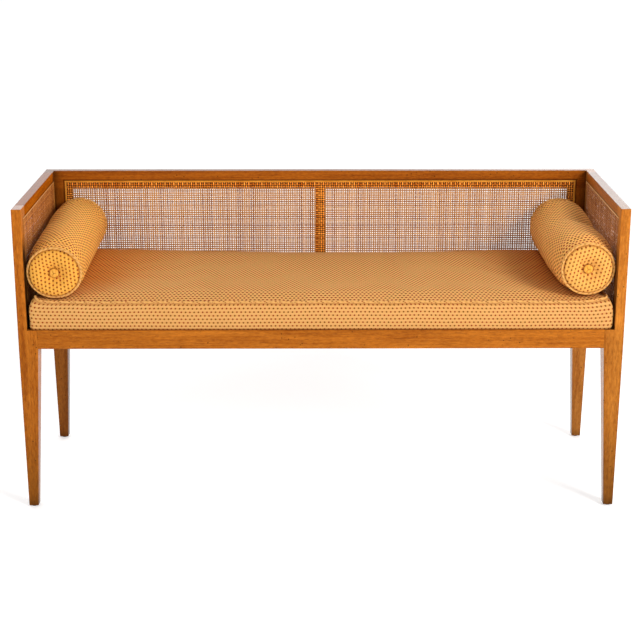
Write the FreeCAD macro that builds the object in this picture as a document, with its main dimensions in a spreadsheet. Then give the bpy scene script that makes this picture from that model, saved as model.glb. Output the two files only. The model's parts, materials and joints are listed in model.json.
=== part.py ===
import FreeCAD, Part
import math
import os

import Sketcher

# Caned window bench with an upholstered seat and two loose bolsters.
# X runs along the bench, its front faces -Y, Z is up, in millimetres.
# The origin is on the floor, under the middle of the bench.

doc = FreeCAD.newDocument("window_bench")

# Driving dimensions
sizes = {
    # overall size and the height of the seat rails
    "bench_length": 1372,
    "bench_depth": 470,
    "bench_height": 710,
    "rail_top": 431,
    # sawn stock of the frame
    "stock_width": 44,
    "stock_thickness": 22,
    "centre_stile_width": 24,
    "edge_radius": 1.2,
    # feet
    "foot_width": 22,
    "foot_inset": 3,
    "glide_height": 3,
    "glide_radius": 7.5,
    "glide_tread_radius": 6,
    "glide_nail_radius": 1.2,
    "glide_nail_length": 14,
    # dowels
    "dowel_radius": 4,
    "dowel_length": 36,
    "dowel_leg_depth": 14,
    "dowel_inset": 10,
    "dowel_edge": 11,
    "seat_rail_dowel_place": 320,
    "hole_clearance": 0.1,
    "hole_end_gap": 1,
    # cane panels
    "cane_margin": 25,
    "groove_width": 6,
    "groove_depth": 6,
    "ledge_depth": 2,
    "cane_thickness": 1.2,
    "cane_lip": 3.2,
    "cane_bar": 24,
    "cane_openings_across": 6,
    "cane_openings_up": 3,
    "spline_proud": 0.5,
    "spline_rounding": 1.6,
    "fit_gap": 0.1,
    # seat support
    "block_reach": 60,
    "block_height": 22,
    "cleat_width": 18,
    "cleat_height": 18,
    "cleat_screw_place": 60,
    "screw_radius": 2,
    "screw_head_radius": 3.8,
    "screw_head_height": 2.4,
    "screw_grip": 11,
    "screw_bite": 9,
    # seat
    "dust_cover_thickness": 0.8,
    "board_thickness": 12,
    "board_margin": 8,
    "soft_gap": 0.3,
    "seat_gap": 5,
    "cushion_front_inset": 1,
    "cushion_back_gap": 4,
    "cushion_corner_radius": 14,
    "boxing_height": 59,
    "boxing_hem": 4,
    "boxing_hem_height": 9,
    "boxing_lean_height": 38,
    "boxing_end_lean": 11,
    "boxing_side_lean": 3,
    "seat_welt_radius": 3.2,
    "shoulder_height": 7,
    "shoulder_front": 40,
    "shoulder_side": 16,
    "crown_height": 17,
    "crown_ridge": 67,
    "crown_back": 46,
    "crown_end": 47,
    # bolsters
    "bolster_radius": 66.5,
    "bolster_front_inset": 20,
    "bolster_back_gap": 23,
    "bolster_gap": 0.6,
    "bolster_shoulder": 45,
    "bolster_end_radius": 55.5,
    "bolster_end_height": 4,
    "bolster_end_crown": 4,
    "bolster_welt_radius": 2.8,
    "tuft_depth": 2,
    "button_radius": 10,
    "button_height": 6,
    "button_rim": 2,
    "button_flat": 2,
    "twine_radius": 1,
}
sheet = doc.addObject("Spreadsheet::Sheet", "Sizes")
for row, (alias, number) in enumerate(sizes.items(), start=1):
    sheet.set(f"A{row}", alias)
    sheet.set(f"B{row}", str(number))
    sheet.setAlias(f"B{row}", alias)
doc.recompute()

# Planes that several pieces share, as expressions on the sheet
half_length = "(Sizes.bench_length / 2)"
half_depth = "(Sizes.bench_depth / 2)"
arm_inner = f"({half_length} - Sizes.stock_thickness)"
leg_inner = f"({half_length} - Sizes.stock_width)"
leg_inner_depth = f"({half_depth} - Sizes.stock_width)"
rail_inner_depth = f"({half_depth} - Sizes.stock_thickness)"
rail_top = "Sizes.rail_top"
rail_bottom = "(Sizes.rail_top - Sizes.stock_width)"
top = "Sizes.bench_height"
top_rail_bottom = "(Sizes.bench_height - Sizes.stock_width)"
lower_rail_top = "(Sizes.rail_top + Sizes.stock_width)"
half_thickness = "(Sizes.stock_thickness / 2)"
board_bottom = "(Sizes.rail_top + Sizes.dust_cover_thickness)"
board_top = f"({board_bottom} + Sizes.board_thickness)"
cushion_end = f"({arm_inner} - Sizes.seat_gap)"
cushion_front = f"(-{half_depth} + Sizes.cushion_front_inset)"
cushion_back = f"({rail_inner_depth} - Sizes.cushion_back_gap)"

overrun = "1"  # how far a cutting tool starts outside the face it cuts
side_names = {-1: "left", 1: "right"}
end_names = {-1: "front", 1: "back"}
directions = {"x": (1, 0, 0), "y": (0, 1, 0), "z": (0, 0, 1)}
parts = {}


def value(expression):
    return float(sheet.evalExpression(expression))


def part(label, item):
    item.Label = label
    parts[label] = item
    return item


def mirrored(side, near, far):
    """Low and high end of a span that is given outwards from the middle."""
    if side > 0:
        return near, far
    return f"-({far})", f"-({near})"


def box(name, xs, ys, zs):
    item = doc.addObject("Part::Box", name)
    for size, axis, (low, high) in zip(("Length", "Width", "Height"), "xyz", (xs, ys, zs)):
        item.setExpression(size, f"({high}) - ({low})")
        item.setExpression(f"Placement.Base.{axis}", low)
    return item


def rod(name, direction, start, radius, length):
    item = doc.addObject("Part::Cylinder", name)
    turn = FreeCAD.Rotation(FreeCAD.Vector(0, 0, 1), FreeCAD.Vector(*direction))
    item.Placement = FreeCAD.Placement(FreeCAD.Vector(), turn)
    item.setExpression("Radius", radius)
    item.setExpression("Height", length)
    for axis, place in zip("xyz", start):
        item.setExpression(f"Placement.Base.{axis}", place)
    return item


def group(name, items):
    item = doc.addObject("Part::Compound", name)
    item.Links = items
    return item


def fuse(name, base, tool):
    item = doc.addObject("Part::Fuse", name)
    item.Base = base
    item.Tool = tool
    return item


def cut(name, base, *tools):
    for number, tool in enumerate(tools, start=1):
        last = number == len(tools)
        item = doc.addObject("Part::Cut", name if last else f"{name}_cut_{number}")
        item.Base = base
        item.Tool = tool
        base = item
    return base


def ease(name, base, wanted):
    """Rounds the edges of a plain piece that are wanted, as sanding does."""
    doc.recompute()
    item = doc.addObject("Part::Fillet", name)
    item.Base = base
    radius = value("Sizes.edge_radius")
    edges = enumerate(base.Shape.Edges, start=1)
    item.Edges = [(number, radius, radius) for number, edge in edges if wanted(edge)]
    return item


def outline(body, name, role, points, offset="0"):
    """A closed sketch of straight lines on one of the body's own planes."""
    sketch = body.newObject("Sketcher::SketchObject", name)
    plane = next(f for f in body.Origin.OriginFeatures if f.Role == role)
    sketch.AttachmentSupport = [(plane, "")]
    sketch.MapMode = "FlatFace"
    sketch.setExpression("AttachmentOffset.Base.z", offset)
    corners = [FreeCAD.Vector(value(u), value(v), 0) for u, v in points]
    count = len(corners)
    for number in range(count):
        sketch.addGeometry(Part.LineSegment(corners[number], corners[(number + 1) % count]))
    for number in range(count):
        following = (number + 1) % count
        sketch.addConstraint(Sketcher.Constraint("Coincident", number, 2, following, 1))
    for number, (u, v) in enumerate(points):
        for kind, place, measure in (("DistanceX", u, "x"), ("DistanceY", v, "y")):
            start = getattr(corners[number], measure)
            index = sketch.addConstraint(Sketcher.Constraint(kind, -1, 1, number, 1, start))
            sketch.setExpression(f"Constraints[{index}]", place)
    return sketch


# Cane panels: each is a rebate with a groove round it, cut into the faces of the frame
panels = {
    "back": {"normal": "y", "side": 1, "face": rail_inner_depth, "low": f"-{arm_inner}", "high": arm_inner},
    "left_arm": {"normal": "x", "side": -1, "face": arm_inner, "low": f"-{half_depth}", "high": half_depth},
    "right_arm": {"normal": "x", "side": 1, "face": arm_inner, "low": f"-{half_depth}", "high": half_depth},
}
groove_inner = "(Sizes.cane_margin + Sizes.groove_width)"
lip_inner = f"({groove_inner} - Sizes.fit_gap)"
lip_outer = f"({lip_inner} - Sizes.cane_thickness)"
spline_outer = "(Sizes.cane_margin + Sizes.fit_gap)"
spline_inner = f"({lip_outer} - Sizes.fit_gap)"
cane_face = "(Sizes.ledge_depth - Sizes.cane_thickness)"


def panel_span(panel, along, up, near, far, name):
    """A box in a panel: along and up are spans, near and far are depths behind the face."""
    depth = mirrored(panel["side"], f"{panel['face']} + {near}", f"{panel['face']} + {far}")
    if panel["normal"] == "x":
        return box(name, depth, along, up)
    return box(name, along, depth, up)


def panel_box(panel, margin, near, far, name):
    along = (f"{panel['low']} + {margin}", f"{panel['high']} - {margin}")
    up = (f"{rail_top} + {margin}", f"{top} - {margin}")
    return panel_span(panel, along, up, near, far, name)


def panel_ring(panel, outer, inner, near, far, name):
    whole = panel_box(panel, outer, near, far, f"{name}_whole")
    middle = panel_box(panel, inner, f"{near} - {overrun}", f"{far} + {overrun}", f"{name}_middle")
    return cut(name, whole, middle)


def panel_recess(panel, name):
    rebate = panel_box(panel, "Sizes.cane_margin", f"-{overrun}", "Sizes.ledge_depth", f"{name}_rebate")
    margin = "Sizes.cane_margin"
    groove = panel_ring(panel, margin, groove_inner, f"-{overrun}", "Sizes.groove_depth", f"{name}_groove")
    return fuse(f"{name}_recess", rebate, groove)


def cane_openings(panel, name):
    """A plain grid of openings for the weave, in each bay of the panel that the frame leaves open."""
    low, high = f"({panel['low']} + Sizes.stock_width)", f"({panel['high']} - Sizes.stock_width)"
    bays = [(low, high)]
    if name == "back":
        half_stile = "(Sizes.centre_stile_width / 2)"
        bays = [(low, f"(-{half_stile})"), (half_stile, high)]
    across = int(value("Sizes.cane_openings_across"))
    upwards = int(value("Sizes.cane_openings_up"))

    def opening(start, end, count, number):
        pitch = f"(({end} - {start}) / {count})"
        return f"{start} + {number} * {pitch} + Sizes.cane_bar / 2", f"{start} + {number + 1} * {pitch} - Sizes.cane_bar / 2"

    near, far = f"{cane_face} - {overrun}", f"Sizes.ledge_depth + {overrun}"
    tools = []
    for bay, (start, end) in enumerate(bays):
        for column in range(across):
            along = opening(start, end, across, column)
            for row in range(upwards):
                up = opening(lower_rail_top, top_rail_bottom, upwards, row)
                label = f"{name}_opening_{bay}_{column}_{row}"
                tools.append(panel_span(panel, along, up, near, far, label))
    return group(f"{name}_openings", tools)


def cane_sheet(panel, name):
    flat = panel_box(panel, lip_outer, cane_face, "Sizes.ledge_depth", f"{name}_flat")
    flat = cut(f"{name}_open_flat", flat, cane_openings(panel, name))
    depth = "Sizes.ledge_depth + Sizes.cane_lip"
    lip = panel_ring(panel, lip_outer, lip_inner, cane_face, depth, f"{name}_lip")
    return part(f"{name}_cane", fuse(f"{name}_cane", flat, lip))


def cane_spline(panel, name):
    """Four reed strips with rounded backs, pressed into the groove beside the cane's lip."""
    near = f"{cane_face} - Sizes.spline_proud"
    far = "Sizes.groove_depth - Sizes.fit_gap"
    low, high = panel["low"], panel["high"]
    wide = (f"{low} + {spline_outer}", f"{high} - {spline_outer}")
    tall = (f"{rail_top} + {spline_inner} + Sizes.fit_gap", f"{top} - {spline_inner} - Sizes.fit_gap")
    spans = {
        "upper": (wide, (f"{top} - {spline_inner}", f"{top} - {spline_outer}")),
        "lower": (wide, (f"{rail_top} + {spline_outer}", f"{rail_top} + {spline_inner}")),
        "first": ((f"{low} + {spline_outer}", f"{low} + {spline_inner}"), tall),
        "second": ((f"{high} - {spline_inner}", f"{high} - {spline_outer}"), tall),
    }
    rounding = value("Sizes.spline_rounding")
    back = value(f"{panel['side']} * ({panel['face']} + {near})")
    strips = []
    for place, (along, up) in spans.items():
        strip = panel_span(panel, along, up, near, far, f"{name}_spline_{place}_strip")
        doc.recompute()
        reed = doc.addObject("Part::Fillet", f"{name}_spline_{place}_reed")
        reed.Base = strip
        longest = max(edge.Length for edge in strip.Shape.Edges)
        chosen = []
        for number, edge in enumerate(strip.Shape.Edges, start=1):
            proud = abs(getattr(edge.CenterOfMass, panel["normal"]) - back) < 0.01
            if proud and abs(edge.Length - longest) < 0.01:
                chosen.append((number, rounding, rounding))
        reed.Edges = chosen
        strips.append(reed)
    return part(f"{name}_cane_spline", group(f"{name}_cane_spline", strips))


# Dowels: two mating pieces take the same hole, a little wider and longer than the dowel
dowels = {"seat_frame": [], "arm_frame": [], "back_frame": []}
dowel_holes = {"seat_frame": [], "arm_frame": [], "back_frame": []}


def dowel(frame, axis, toward, plane, across):
    """toward is the side of the joint's plane on which the rail lies."""
    behind = "Sizes.dowel_leg_depth"
    if toward < 0:
        behind = "(Sizes.dowel_length - Sizes.dowel_leg_depth)"
    number = len(dowels[frame]) + 1
    pin = [{**across, axis: f"{plane} - {behind}"}[a] for a in "xyz"]
    hole = [{**across, axis: f"{plane} - {behind} - Sizes.hole_end_gap"}[a] for a in "xyz"]
    wide = "Sizes.dowel_radius + Sizes.hole_clearance"
    long = "Sizes.dowel_length + 2 * Sizes.hole_end_gap"
    direction = directions[axis]
    name = f"{frame}_dowel_{number}"
    dowels[frame].append(rod(name, direction, pin, "Sizes.dowel_radius", "Sizes.dowel_length"))
    dowel_holes[frame].append(rod(f"{name}_hole", direction, hole, wide, long))


def near_edges(low, high):
    return f"{low} + Sizes.dowel_edge", f"{high} - Sizes.dowel_edge"


outer_x = f"({half_length} - Sizes.dowel_inset)"
outer_y = f"({half_depth} - Sizes.dowel_inset)"
for side in side_names:
    for end in end_names:
        for height in near_edges(rail_bottom, rail_top):
            across = {"y": f"{end} * {outer_y}", "z": height}
            dowel("seat_frame", "x", -side, f"{side} * {leg_inner}", across)
            across = {"x": f"{side} * {outer_x}", "z": height}
            dowel("seat_frame", "y", -end, f"{end} * {leg_inner_depth}", across)
        for low, high in ((rail_top, lower_rail_top), (top_rail_bottom, top)):
            for height in near_edges(low, high):
                across = {"x": f"{side} * {outer_x}", "z": height}
                dowel("arm_frame", "y", -end, f"{end} * {leg_inner_depth}", across)
for end in end_names:
    for height in near_edges(rail_bottom, rail_top):
        dowel("seat_frame", "y", -end, f"{end} * {rail_inner_depth}", {"x": "0", "z": height})
stile_middle = f"(({lower_rail_top} + {top_rail_bottom}) / 2)"
post_heights = (f"{rail_top} + Sizes.dowel_edge", stile_middle, f"{top} - Sizes.dowel_edge")
for side in side_names:
    for height in post_heights:
        dowel("back_frame", "x", -side, f"{side} * {arm_inner}", {"y": outer_y, "z": height})
    for along in near_edges(f"{arm_inner} - Sizes.stock_width", arm_inner):
        across = {"x": f"{side} * ({along})", "y": outer_y}
        dowel("back_frame", "z", -1, top_rail_bottom, across)
        dowel("back_frame", "z", 1, lower_rail_top, across)
    across = {"x": f"{side} * Sizes.seat_rail_dowel_place", "y": outer_y}
    dowel("back_frame", "z", 1, rail_top, across)
dowel("back_frame", "z", -1, top_rail_bottom, {"x": "0", "y": outer_y})
dowel("back_frame", "z", 1, lower_rail_top, {"x": "0", "y": outer_y})

holes = {frame: group(f"{frame}_dowel_holes", items) for frame, items in dowel_holes.items()}
for frame, items in dowels.items():
    part(f"{frame}_dowels", group(f"{frame}_dowels", items))


# Wood screws: a pan head on the floor of its bore, and a hole for the shank
def screw(name, direction, seat, length, bore):
    back = tuple(-number for number in direction)
    shank = rod(f"{name}_shank", direction, seat, "Sizes.screw_radius", length)
    head = rod(f"{name}_head", back, seat, "Sizes.screw_head_radius", "Sizes.screw_head_height")
    wide = "Sizes.screw_radius + Sizes.hole_clearance"
    pilot = rod(f"{name}_pilot", direction, seat, wide, f"{length} + Sizes.hole_end_gap")
    mouth = rod(f"{name}_mouth", back, seat, "Sizes.screw_head_radius + Sizes.hole_clearance", bore)
    return fuse(name, shank, head), fuse(f"{name}_hole", pilot, mouth)


block_screws, block_holes, seat_screws, seat_holes, cleat_screws, cleat_holes = [], [], [], [], [], []
block_middle = f"({rail_top} - Sizes.block_height / 2)"
block_half = "(Sizes.block_reach / 2)"
bite = "(Sizes.screw_grip + Sizes.screw_bite)"
seat_screw_x = f"({leg_inner} - Sizes.block_height / 2)"
seat_screw_y = f"({leg_inner_depth} - Sizes.block_height / 2)"
for side in side_names:
    for end in end_names:
        corner = f"{end_names[end]}_{side_names[side]}"
        along = f"{side} * ({leg_inner} - {block_half})"
        seat = (along, f"{end} * ({rail_inner_depth} - Sizes.screw_grip)", block_middle)
        made = screw(f"{corner}_block_rail_screw", (0, end, 0), seat, bite, "Sizes.block_reach")
        block_screws.append(made[0])
        block_holes.append(made[1])
        along = f"{end} * ({leg_inner_depth} - {block_half})"
        seat = (f"{side} * ({arm_inner} - Sizes.screw_grip)", along, block_middle)
        made = screw(f"{corner}_block_side_screw", (side, 0, 0), seat, bite, "Sizes.block_reach")
        block_screws.append(made[0])
        block_holes.append(made[1])
        height = f"{rail_top} - Sizes.screw_grip"
        seat = (f"{side} * {seat_screw_x}", f"{end} * {seat_screw_y}", height)
        long = f"{bite} + Sizes.dust_cover_thickness"
        made = screw(f"{corner}_seat_screw", (0, 0, 1), seat, long, "Sizes.block_height")
        seat_screws.append(made[0])
        seat_holes.append(made[1])
        height = f"{rail_top} - Sizes.cleat_height / 2"
        seat = (f"{side} * ({arm_inner} - Sizes.screw_grip)", f"{end} * Sizes.cleat_screw_place", height)
        made = screw(f"{corner}_cleat_side_screw", (side, 0, 0), seat, bite, "Sizes.cleat_width")
        cleat_screws.append(made[0])
        cleat_holes.append(made[1])
    cleat_run = f"({half_thickness} + {leg_inner} - Sizes.block_reach)"
    for step in (-1, 1):
        along = f"{side} * ({cleat_run} / 2 + {step} * Sizes.cleat_screw_place)"
        seat = (along, f"{rail_inner_depth} - Sizes.screw_grip", f"{rail_top} - Sizes.cleat_height / 2")
        name = f"back_{side_names[side]}_cleat_screw_{'inner' if step < 0 else 'outer'}"
        made = screw(name, (0, 1, 0), seat, bite, "Sizes.cleat_width")
        cleat_screws.append(made[0])
        cleat_holes.append(made[1])
block_holes = group("block_screw_holes", block_holes)
seat_holes = group("seat_screw_holes", seat_holes)
cleat_holes = group("cleat_screw_holes", cleat_holes)
part("corner_block_screws", group("corner_block_screws", block_screws))
part("seat_screws", group("seat_screws", seat_screws))
part("cleat_screws", group("cleat_screws", cleat_screws))


# Foot glides: a tapered tread with a nail up into the foot
foot_x = f"({half_length} - Sizes.foot_inset - Sizes.foot_width / 2)"
foot_y = f"({half_depth} - Sizes.foot_width / 2)"
glides, nail_holes = [], []
for side in side_names:
    for end in end_names:
        name = f"{end_names[end]}_{side_names[side]}_glide"
        tread = doc.addObject("Part::Cone", f"{name}_tread")
        tread.setExpression("Radius1", "Sizes.glide_tread_radius")
        tread.setExpression("Radius2", "Sizes.glide_radius")
        tread.setExpression("Height", "Sizes.glide_height")
        tread.setExpression("Placement.Base.x", f"{side} * {foot_x}")
        tread.setExpression("Placement.Base.y", f"{end} * {foot_y}")
        start = (f"{side} * {foot_x}", f"{end} * {foot_y}", "Sizes.glide_height")
        long = "Sizes.glide_nail_length"
        nail = rod(f"{name}_nail", (0, 0, 1), start, "Sizes.glide_nail_radius", long)
        glides.append(fuse(name, tread, nail))
        wide = "Sizes.glide_nail_radius + Sizes.hole_clearance"
        nail_holes.append(rod(f"{name}_hole", (0, 0, 1), start, wide, f"{long} + Sizes.hole_end_gap"))
part("foot_glides", group("foot_glides", glides))
nail_holes = group("glide_nail_holes", nail_holes)


# Legs: sawn to a front outline, tapered on the inner face, with a thin post above the seat
def leg(side, end, recess):
    label = f"{end_names[end]}_{side_names[side]}_leg"
    body = doc.addObject("PartDesign::Body", f"{label}_blank")
    front_points = [
        (f"{side} * ({half_length} - Sizes.foot_inset)", "Sizes.glide_height"),
        (f"{side} * {half_length}", rail_bottom),
        (f"{side} * {half_length}", top),
        (f"{side} * {arm_inner}", top),
        (f"{side} * {arm_inner}", rail_top),
        (f"{side} * {leg_inner}", rail_top),
        (f"{side} * {leg_inner}", rail_bottom),
        (f"{side} * ({half_length} - Sizes.foot_inset - Sizes.foot_width)", "Sizes.glide_height"),
    ]
    offset = leg_inner_depth if end < 0 else f"-{half_depth}"
    front = outline(body, f"{label}_front_outline", "XZ_Plane", front_points, offset)
    pad = body.newObject("PartDesign::Pad", f"{label}_sawn")
    pad.Profile = front
    pad.setExpression("Length", "Sizes.stock_width")
    doc.recompute()
    sawn_volume = body.Shape.Volume
    taper_points = [
        (f"{end} * {leg_inner_depth}", rail_bottom),
        (f"{end} * ({half_depth} - Sizes.foot_width)", "Sizes.glide_height"),
        (f"{end} * {leg_inner_depth}", "Sizes.glide_height"),
    ]
    taper = outline(body, f"{label}_taper_outline", "YZ_Plane", taper_points)
    pocket = body.newObject("PartDesign::Pocket", f"{label}_tapered")
    pocket.Profile = taper
    pocket.Type = "ThroughAll"
    pocket.SideType = "Symmetric"
    doc.recompute()
    if body.Shape.Volume >= sawn_volume:
        raise RuntimeError(f"{label}: the taper cut nothing")
    face = value(half_depth)
    joint = value(leg_inner_depth)
    foot = value("Sizes.glide_height")
    post_top = value(top)
    chosen = []
    for number, edge in enumerate(pocket.Shape.Edges, start=1):
        middle = edge.CenterOfMass
        on_face = abs(abs(middle.y) - face) < 0.01
        on_top = abs(middle.z - post_top) < 0.01 and abs(abs(middle.y) - joint) > 0.01
        on_foot = abs(middle.z - foot) < 0.01
        if on_face or on_top or on_foot:
            chosen.append(f"Edge{number}")
    eased = body.newObject("PartDesign::Fillet", f"{label}_eased")
    eased.Base = (pocket, chosen)
    eased.setExpression("Radius", "Sizes.edge_radius")
    tools = [recess, holes["seat_frame"], holes["arm_frame"], nail_holes]
    if end > 0:
        tools.append(holes["back_frame"])
    return part(label, cut(label, body, *tools))


recesses = {name: panel_recess(panel, name) for name, panel in panels.items()}
for side in side_names:
    for end in end_names:
        leg(side, end, recesses[f"{side_names[side]}_arm"])


def is_long(edge):
    return edge.Length > value("2 * Sizes.stock_width")


def is_long_on_top(edge):
    return is_long(edge) and abs(edge.CenterOfMass.z - value(top)) < 0.01


# Seat frame: four rails between the legs, and a cross rail under the middle of the seat
rail_height = (rail_bottom, rail_top)
for end in end_names:
    label = f"{end_names[end]}_seat_rail"
    depth = mirrored(end, rail_inner_depth, half_depth)
    blank = box(f"{label}_blank", (f"-{leg_inner}", leg_inner), depth, rail_height)
    rail = ease(f"{label}_eased", blank, is_long)
    tools = [holes["seat_frame"], block_holes]
    if end > 0:
        tools += [holes["back_frame"], cleat_holes]
    part(label, cut(label, rail, *tools))
for side in side_names:
    label = f"{side_names[side]}_seat_rail"
    width = mirrored(side, arm_inner, half_length)
    blank = box(f"{label}_blank", width, (f"-{leg_inner_depth}", leg_inner_depth), rail_height)
    rail = ease(f"{label}_eased", blank, is_long)
    part(label, cut(label, rail, holes["seat_frame"], block_holes, cleat_holes))
width = (f"-{half_thickness}", half_thickness)
blank = box("seat_cross_rail_blank", width, (f"-{rail_inner_depth}", rail_inner_depth), rail_height)
part("seat_cross_rail", cut("seat_cross_rail", blank, holes["seat_frame"]))


# Corner blocks: glued and screwed behind each leg, flush with the top of the rails
def corner_block(side, end):
    label = f"{end_names[end]}_{side_names[side]}_corner_block"
    body = doc.addObject("PartDesign::Body", f"{label}_blank")
    points = [
        (f"{side} * {leg_inner}", f"{end} * {rail_inner_depth}"),
        (f"{side} * ({leg_inner} - Sizes.block_reach)", f"{end} * {rail_inner_depth}"),
        (f"{side} * {arm_inner}", f"{end} * ({leg_inner_depth} - Sizes.block_reach)"),
        (f"{side} * {arm_inner}", f"{end} * {leg_inner_depth}"),
        (f"{side} * {leg_inner}", f"{end} * {leg_inner_depth}"),
    ]
    plan = outline(body, f"{label}_plan", "XY_Plane", points, f"{rail_top} - Sizes.block_height")
    pad = body.newObject("PartDesign::Pad", f"{label}_sawn")
    pad.Profile = plan
    pad.setExpression("Length", "Sizes.block_height")
    part(label, cut(label, body, block_holes, seat_holes))


for side in side_names:
    for end in end_names:
        corner_block(side, end)

# Seat cleats between the corner blocks
cleat_span = (f"{rail_top} - Sizes.cleat_height", rail_top)
for side in side_names:
    label = f"{side_names[side]}_seat_cleat"
    width = mirrored(side, f"{arm_inner} - Sizes.cleat_width", arm_inner)
    reach = f"({leg_inner_depth} - Sizes.block_reach - Sizes.fit_gap)"
    blank = box(f"{label}_blank", width, (f"-{reach}", reach), cleat_span)
    part(label, cut(label, blank, cleat_holes))
    label = f"back_{side_names[side]}_seat_cleat"
    outer = f"{leg_inner} - Sizes.block_reach - Sizes.fit_gap"
    width = mirrored(side, f"{half_thickness} + Sizes.fit_gap", outer)
    depth = (f"{rail_inner_depth} - Sizes.cleat_width", rail_inner_depth)
    part(label, cut(label, box(f"{label}_blank", width, depth, cleat_span), cleat_holes))

# Arm rails between the posts
for side in side_names:
    arm = f"{side_names[side]}_arm"
    width = mirrored(side, arm_inner, half_length)
    depth = (f"-{leg_inner_depth}", leg_inner_depth)
    blank = box(f"{arm}_top_rail_blank", width, depth, (top_rail_bottom, top))
    rail = ease(f"{arm}_top_rail_eased", blank, is_long_on_top)
    part(f"{arm}_top_rail", cut(f"{arm}_top_rail", rail, recesses[arm], holes["arm_frame"]))
    blank = box(f"{arm}_lower_rail_blank", width, depth, (rail_top, lower_rail_top))
    part(f"{arm}_lower_rail", cut(f"{arm}_lower_rail", blank, recesses[arm], holes["arm_frame"]))

# Back frame between the back posts
depth = (rail_inner_depth, half_depth)
width = (f"-{arm_inner}", arm_inner)
blank = box("back_crest_rail_blank", width, depth, (top_rail_bottom, top))
rail = ease("back_crest_rail_eased", blank, is_long_on_top)
part("back_crest_rail", cut("back_crest_rail", rail, recesses["back"], holes["back_frame"]))
blank = box("back_lower_rail_blank", width, depth, (rail_top, lower_rail_top))
part("back_lower_rail", cut("back_lower_rail", blank, recesses["back"], holes["back_frame"]))
stile_span = (lower_rail_top, top_rail_bottom)
for side in side_names:
    label = f"back_{side_names[side]}_stile"
    width = mirrored(side, f"{arm_inner} - Sizes.stock_width", arm_inner)
    blank = box(f"{label}_blank", width, depth, stile_span)
    part(label, cut(label, blank, recesses["back"], holes["back_frame"]))
half_stile = "(Sizes.centre_stile_width / 2)"
blank = box("back_centre_stile_blank", (f"-{half_stile}", half_stile), depth, stile_span)
part("back_centre_stile", cut("back_centre_stile", blank, recesses["back"], holes["back_frame"]))

for name, panel in panels.items():
    cane_sheet(panel, name)
    cane_spline(panel, name)

# Seat board and dust cover
board_width = (f"-({cushion_end} - Sizes.board_margin)", f"{cushion_end} - Sizes.board_margin")
board_depth = (f"{cushion_front} + Sizes.board_margin", f"{cushion_back} - Sizes.board_margin")
blank = box("seat_board_blank", board_width, board_depth, (board_bottom, board_top))
part("seat_board", cut("seat_board", blank, seat_holes))
blank = box("dust_cover_blank", board_width, board_depth, (rail_top, board_bottom))
part("dust_cover", cut("dust_cover", blank, seat_holes))


def soft(label, shape, placement=None):
    item = doc.addObject("Part::Feature", label)
    item.Shape = shape
    if placement is not None:
        item.Placement = placement
    return part(label, item)


def rounded_rectangle(x_half, y_low, y_high, z, radius):
    """Four lines and four quarter arcs, seen from above, starting at the front left."""
    inset = radius * (1 - math.sqrt(0.5))
    lines = [
        ((-x_half + radius, y_low), (x_half - radius, y_low)),
        ((x_half, y_low + radius), (x_half, y_high - radius)),
        ((x_half - radius, y_high), (-x_half + radius, y_high)),
        ((-x_half, y_high - radius), (-x_half, y_low + radius)),
    ]
    middles = [
        (x_half - inset, y_low + inset),
        (x_half - inset, y_high - inset),
        (-x_half + inset, y_high - inset),
        (-x_half + inset, y_low + inset),
    ]
    edges = []
    for number, (start, end) in enumerate(lines):
        following = lines[(number + 1) % 4][0]
        points = [FreeCAD.Vector(*point, z) for point in (start, end, middles[number], following)]
        edges.append(Part.LineSegment(points[0], points[1]).toShape())
        edges.append(Part.Arc(points[1], points[2], points[3]).toShape())
    return Part.Wire(edges)


# Seat cushion: boxing that leans in to the welt, and a crown that is fuller towards the back
half_cushion = value(cushion_end)
front_line = value(cushion_front)
back_line = value(cushion_back)
corner = value("Sizes.cushion_corner_radius")
gap = value("Sizes.soft_gap")
base = value("Sizes.rail_top")
end_lean = value("Sizes.boxing_end_lean")
side_lean = value("Sizes.boxing_side_lean")
hem = value("Sizes.boxing_hem")
boxing_top = base + value("Sizes.boxing_height")
welt = value("Sizes.seat_welt_radius")
welt_seat = 2 * (welt + gap)
shoulder_side = value("Sizes.shoulder_side")
boxing_levels = [
    (base + gap, hem, hem),
    (base + value("Sizes.boxing_hem_height"), 0, 0),
    (base + value("Sizes.boxing_lean_height"), 0, 0),
    (boxing_top, end_lean, side_lean),
]
boxing = Part.makeLoft(
    [
        rounded_rectangle(half_cushion - in_x, front_line + in_y, back_line - in_y, z, corner)
        for z, in_x, in_y in boxing_levels
    ],
    True,
    True,
)
shoulder_y = front_line + value("Sizes.shoulder_front")
shoulder_z = boxing_top + value("Sizes.shoulder_height")
crown_back = back_line - value("Sizes.crown_back")
crown_y = crown_back - value("Sizes.crown_ridge")
crown_z = boxing_top + value("Sizes.crown_height")
crown = Part.makeLoft(
    [
        rounded_rectangle(
            half_cushion - end_lean - welt_seat,
            front_line + side_lean + welt_seat,
            back_line - side_lean - welt_seat,
            boxing_top,
            corner,
        ),
        rounded_rectangle(
            half_cushion - end_lean - shoulder_side,
            shoulder_y,
            back_line - shoulder_side,
            shoulder_z,
            corner,
        ),
        rounded_rectangle(
            half_cushion - value("Sizes.crown_end"),
            crown_y,
            crown_back,
            crown_z,
            corner,
        ),
    ],
    True,
    True,
)
wall = value("Sizes.board_margin") - gap
board_room = Part.makeBox(
    2 * (half_cushion - wall),
    back_line - front_line - 2 * wall,
    value(board_top) - base + gap,
    FreeCAD.Vector(-half_cushion + wall, front_line + wall, base),
)
soft("seat_cushion", boxing.fuse(crown).cut(board_room).removeSplitter())
welt_in = welt + gap / 2
welt_path = rounded_rectangle(
    half_cushion - end_lean - welt_in,
    front_line + side_lean + welt_in,
    back_line - side_lean - welt_in,
    boxing_top + welt + gap / 2,
    corner - welt_in,
)
welt_start = welt_path.Edges[0].Vertexes[0].Point
welt_ring = Part.Wire(Part.makeCircle(welt, welt_start, FreeCAD.Vector(1, 0, 0)))
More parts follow.
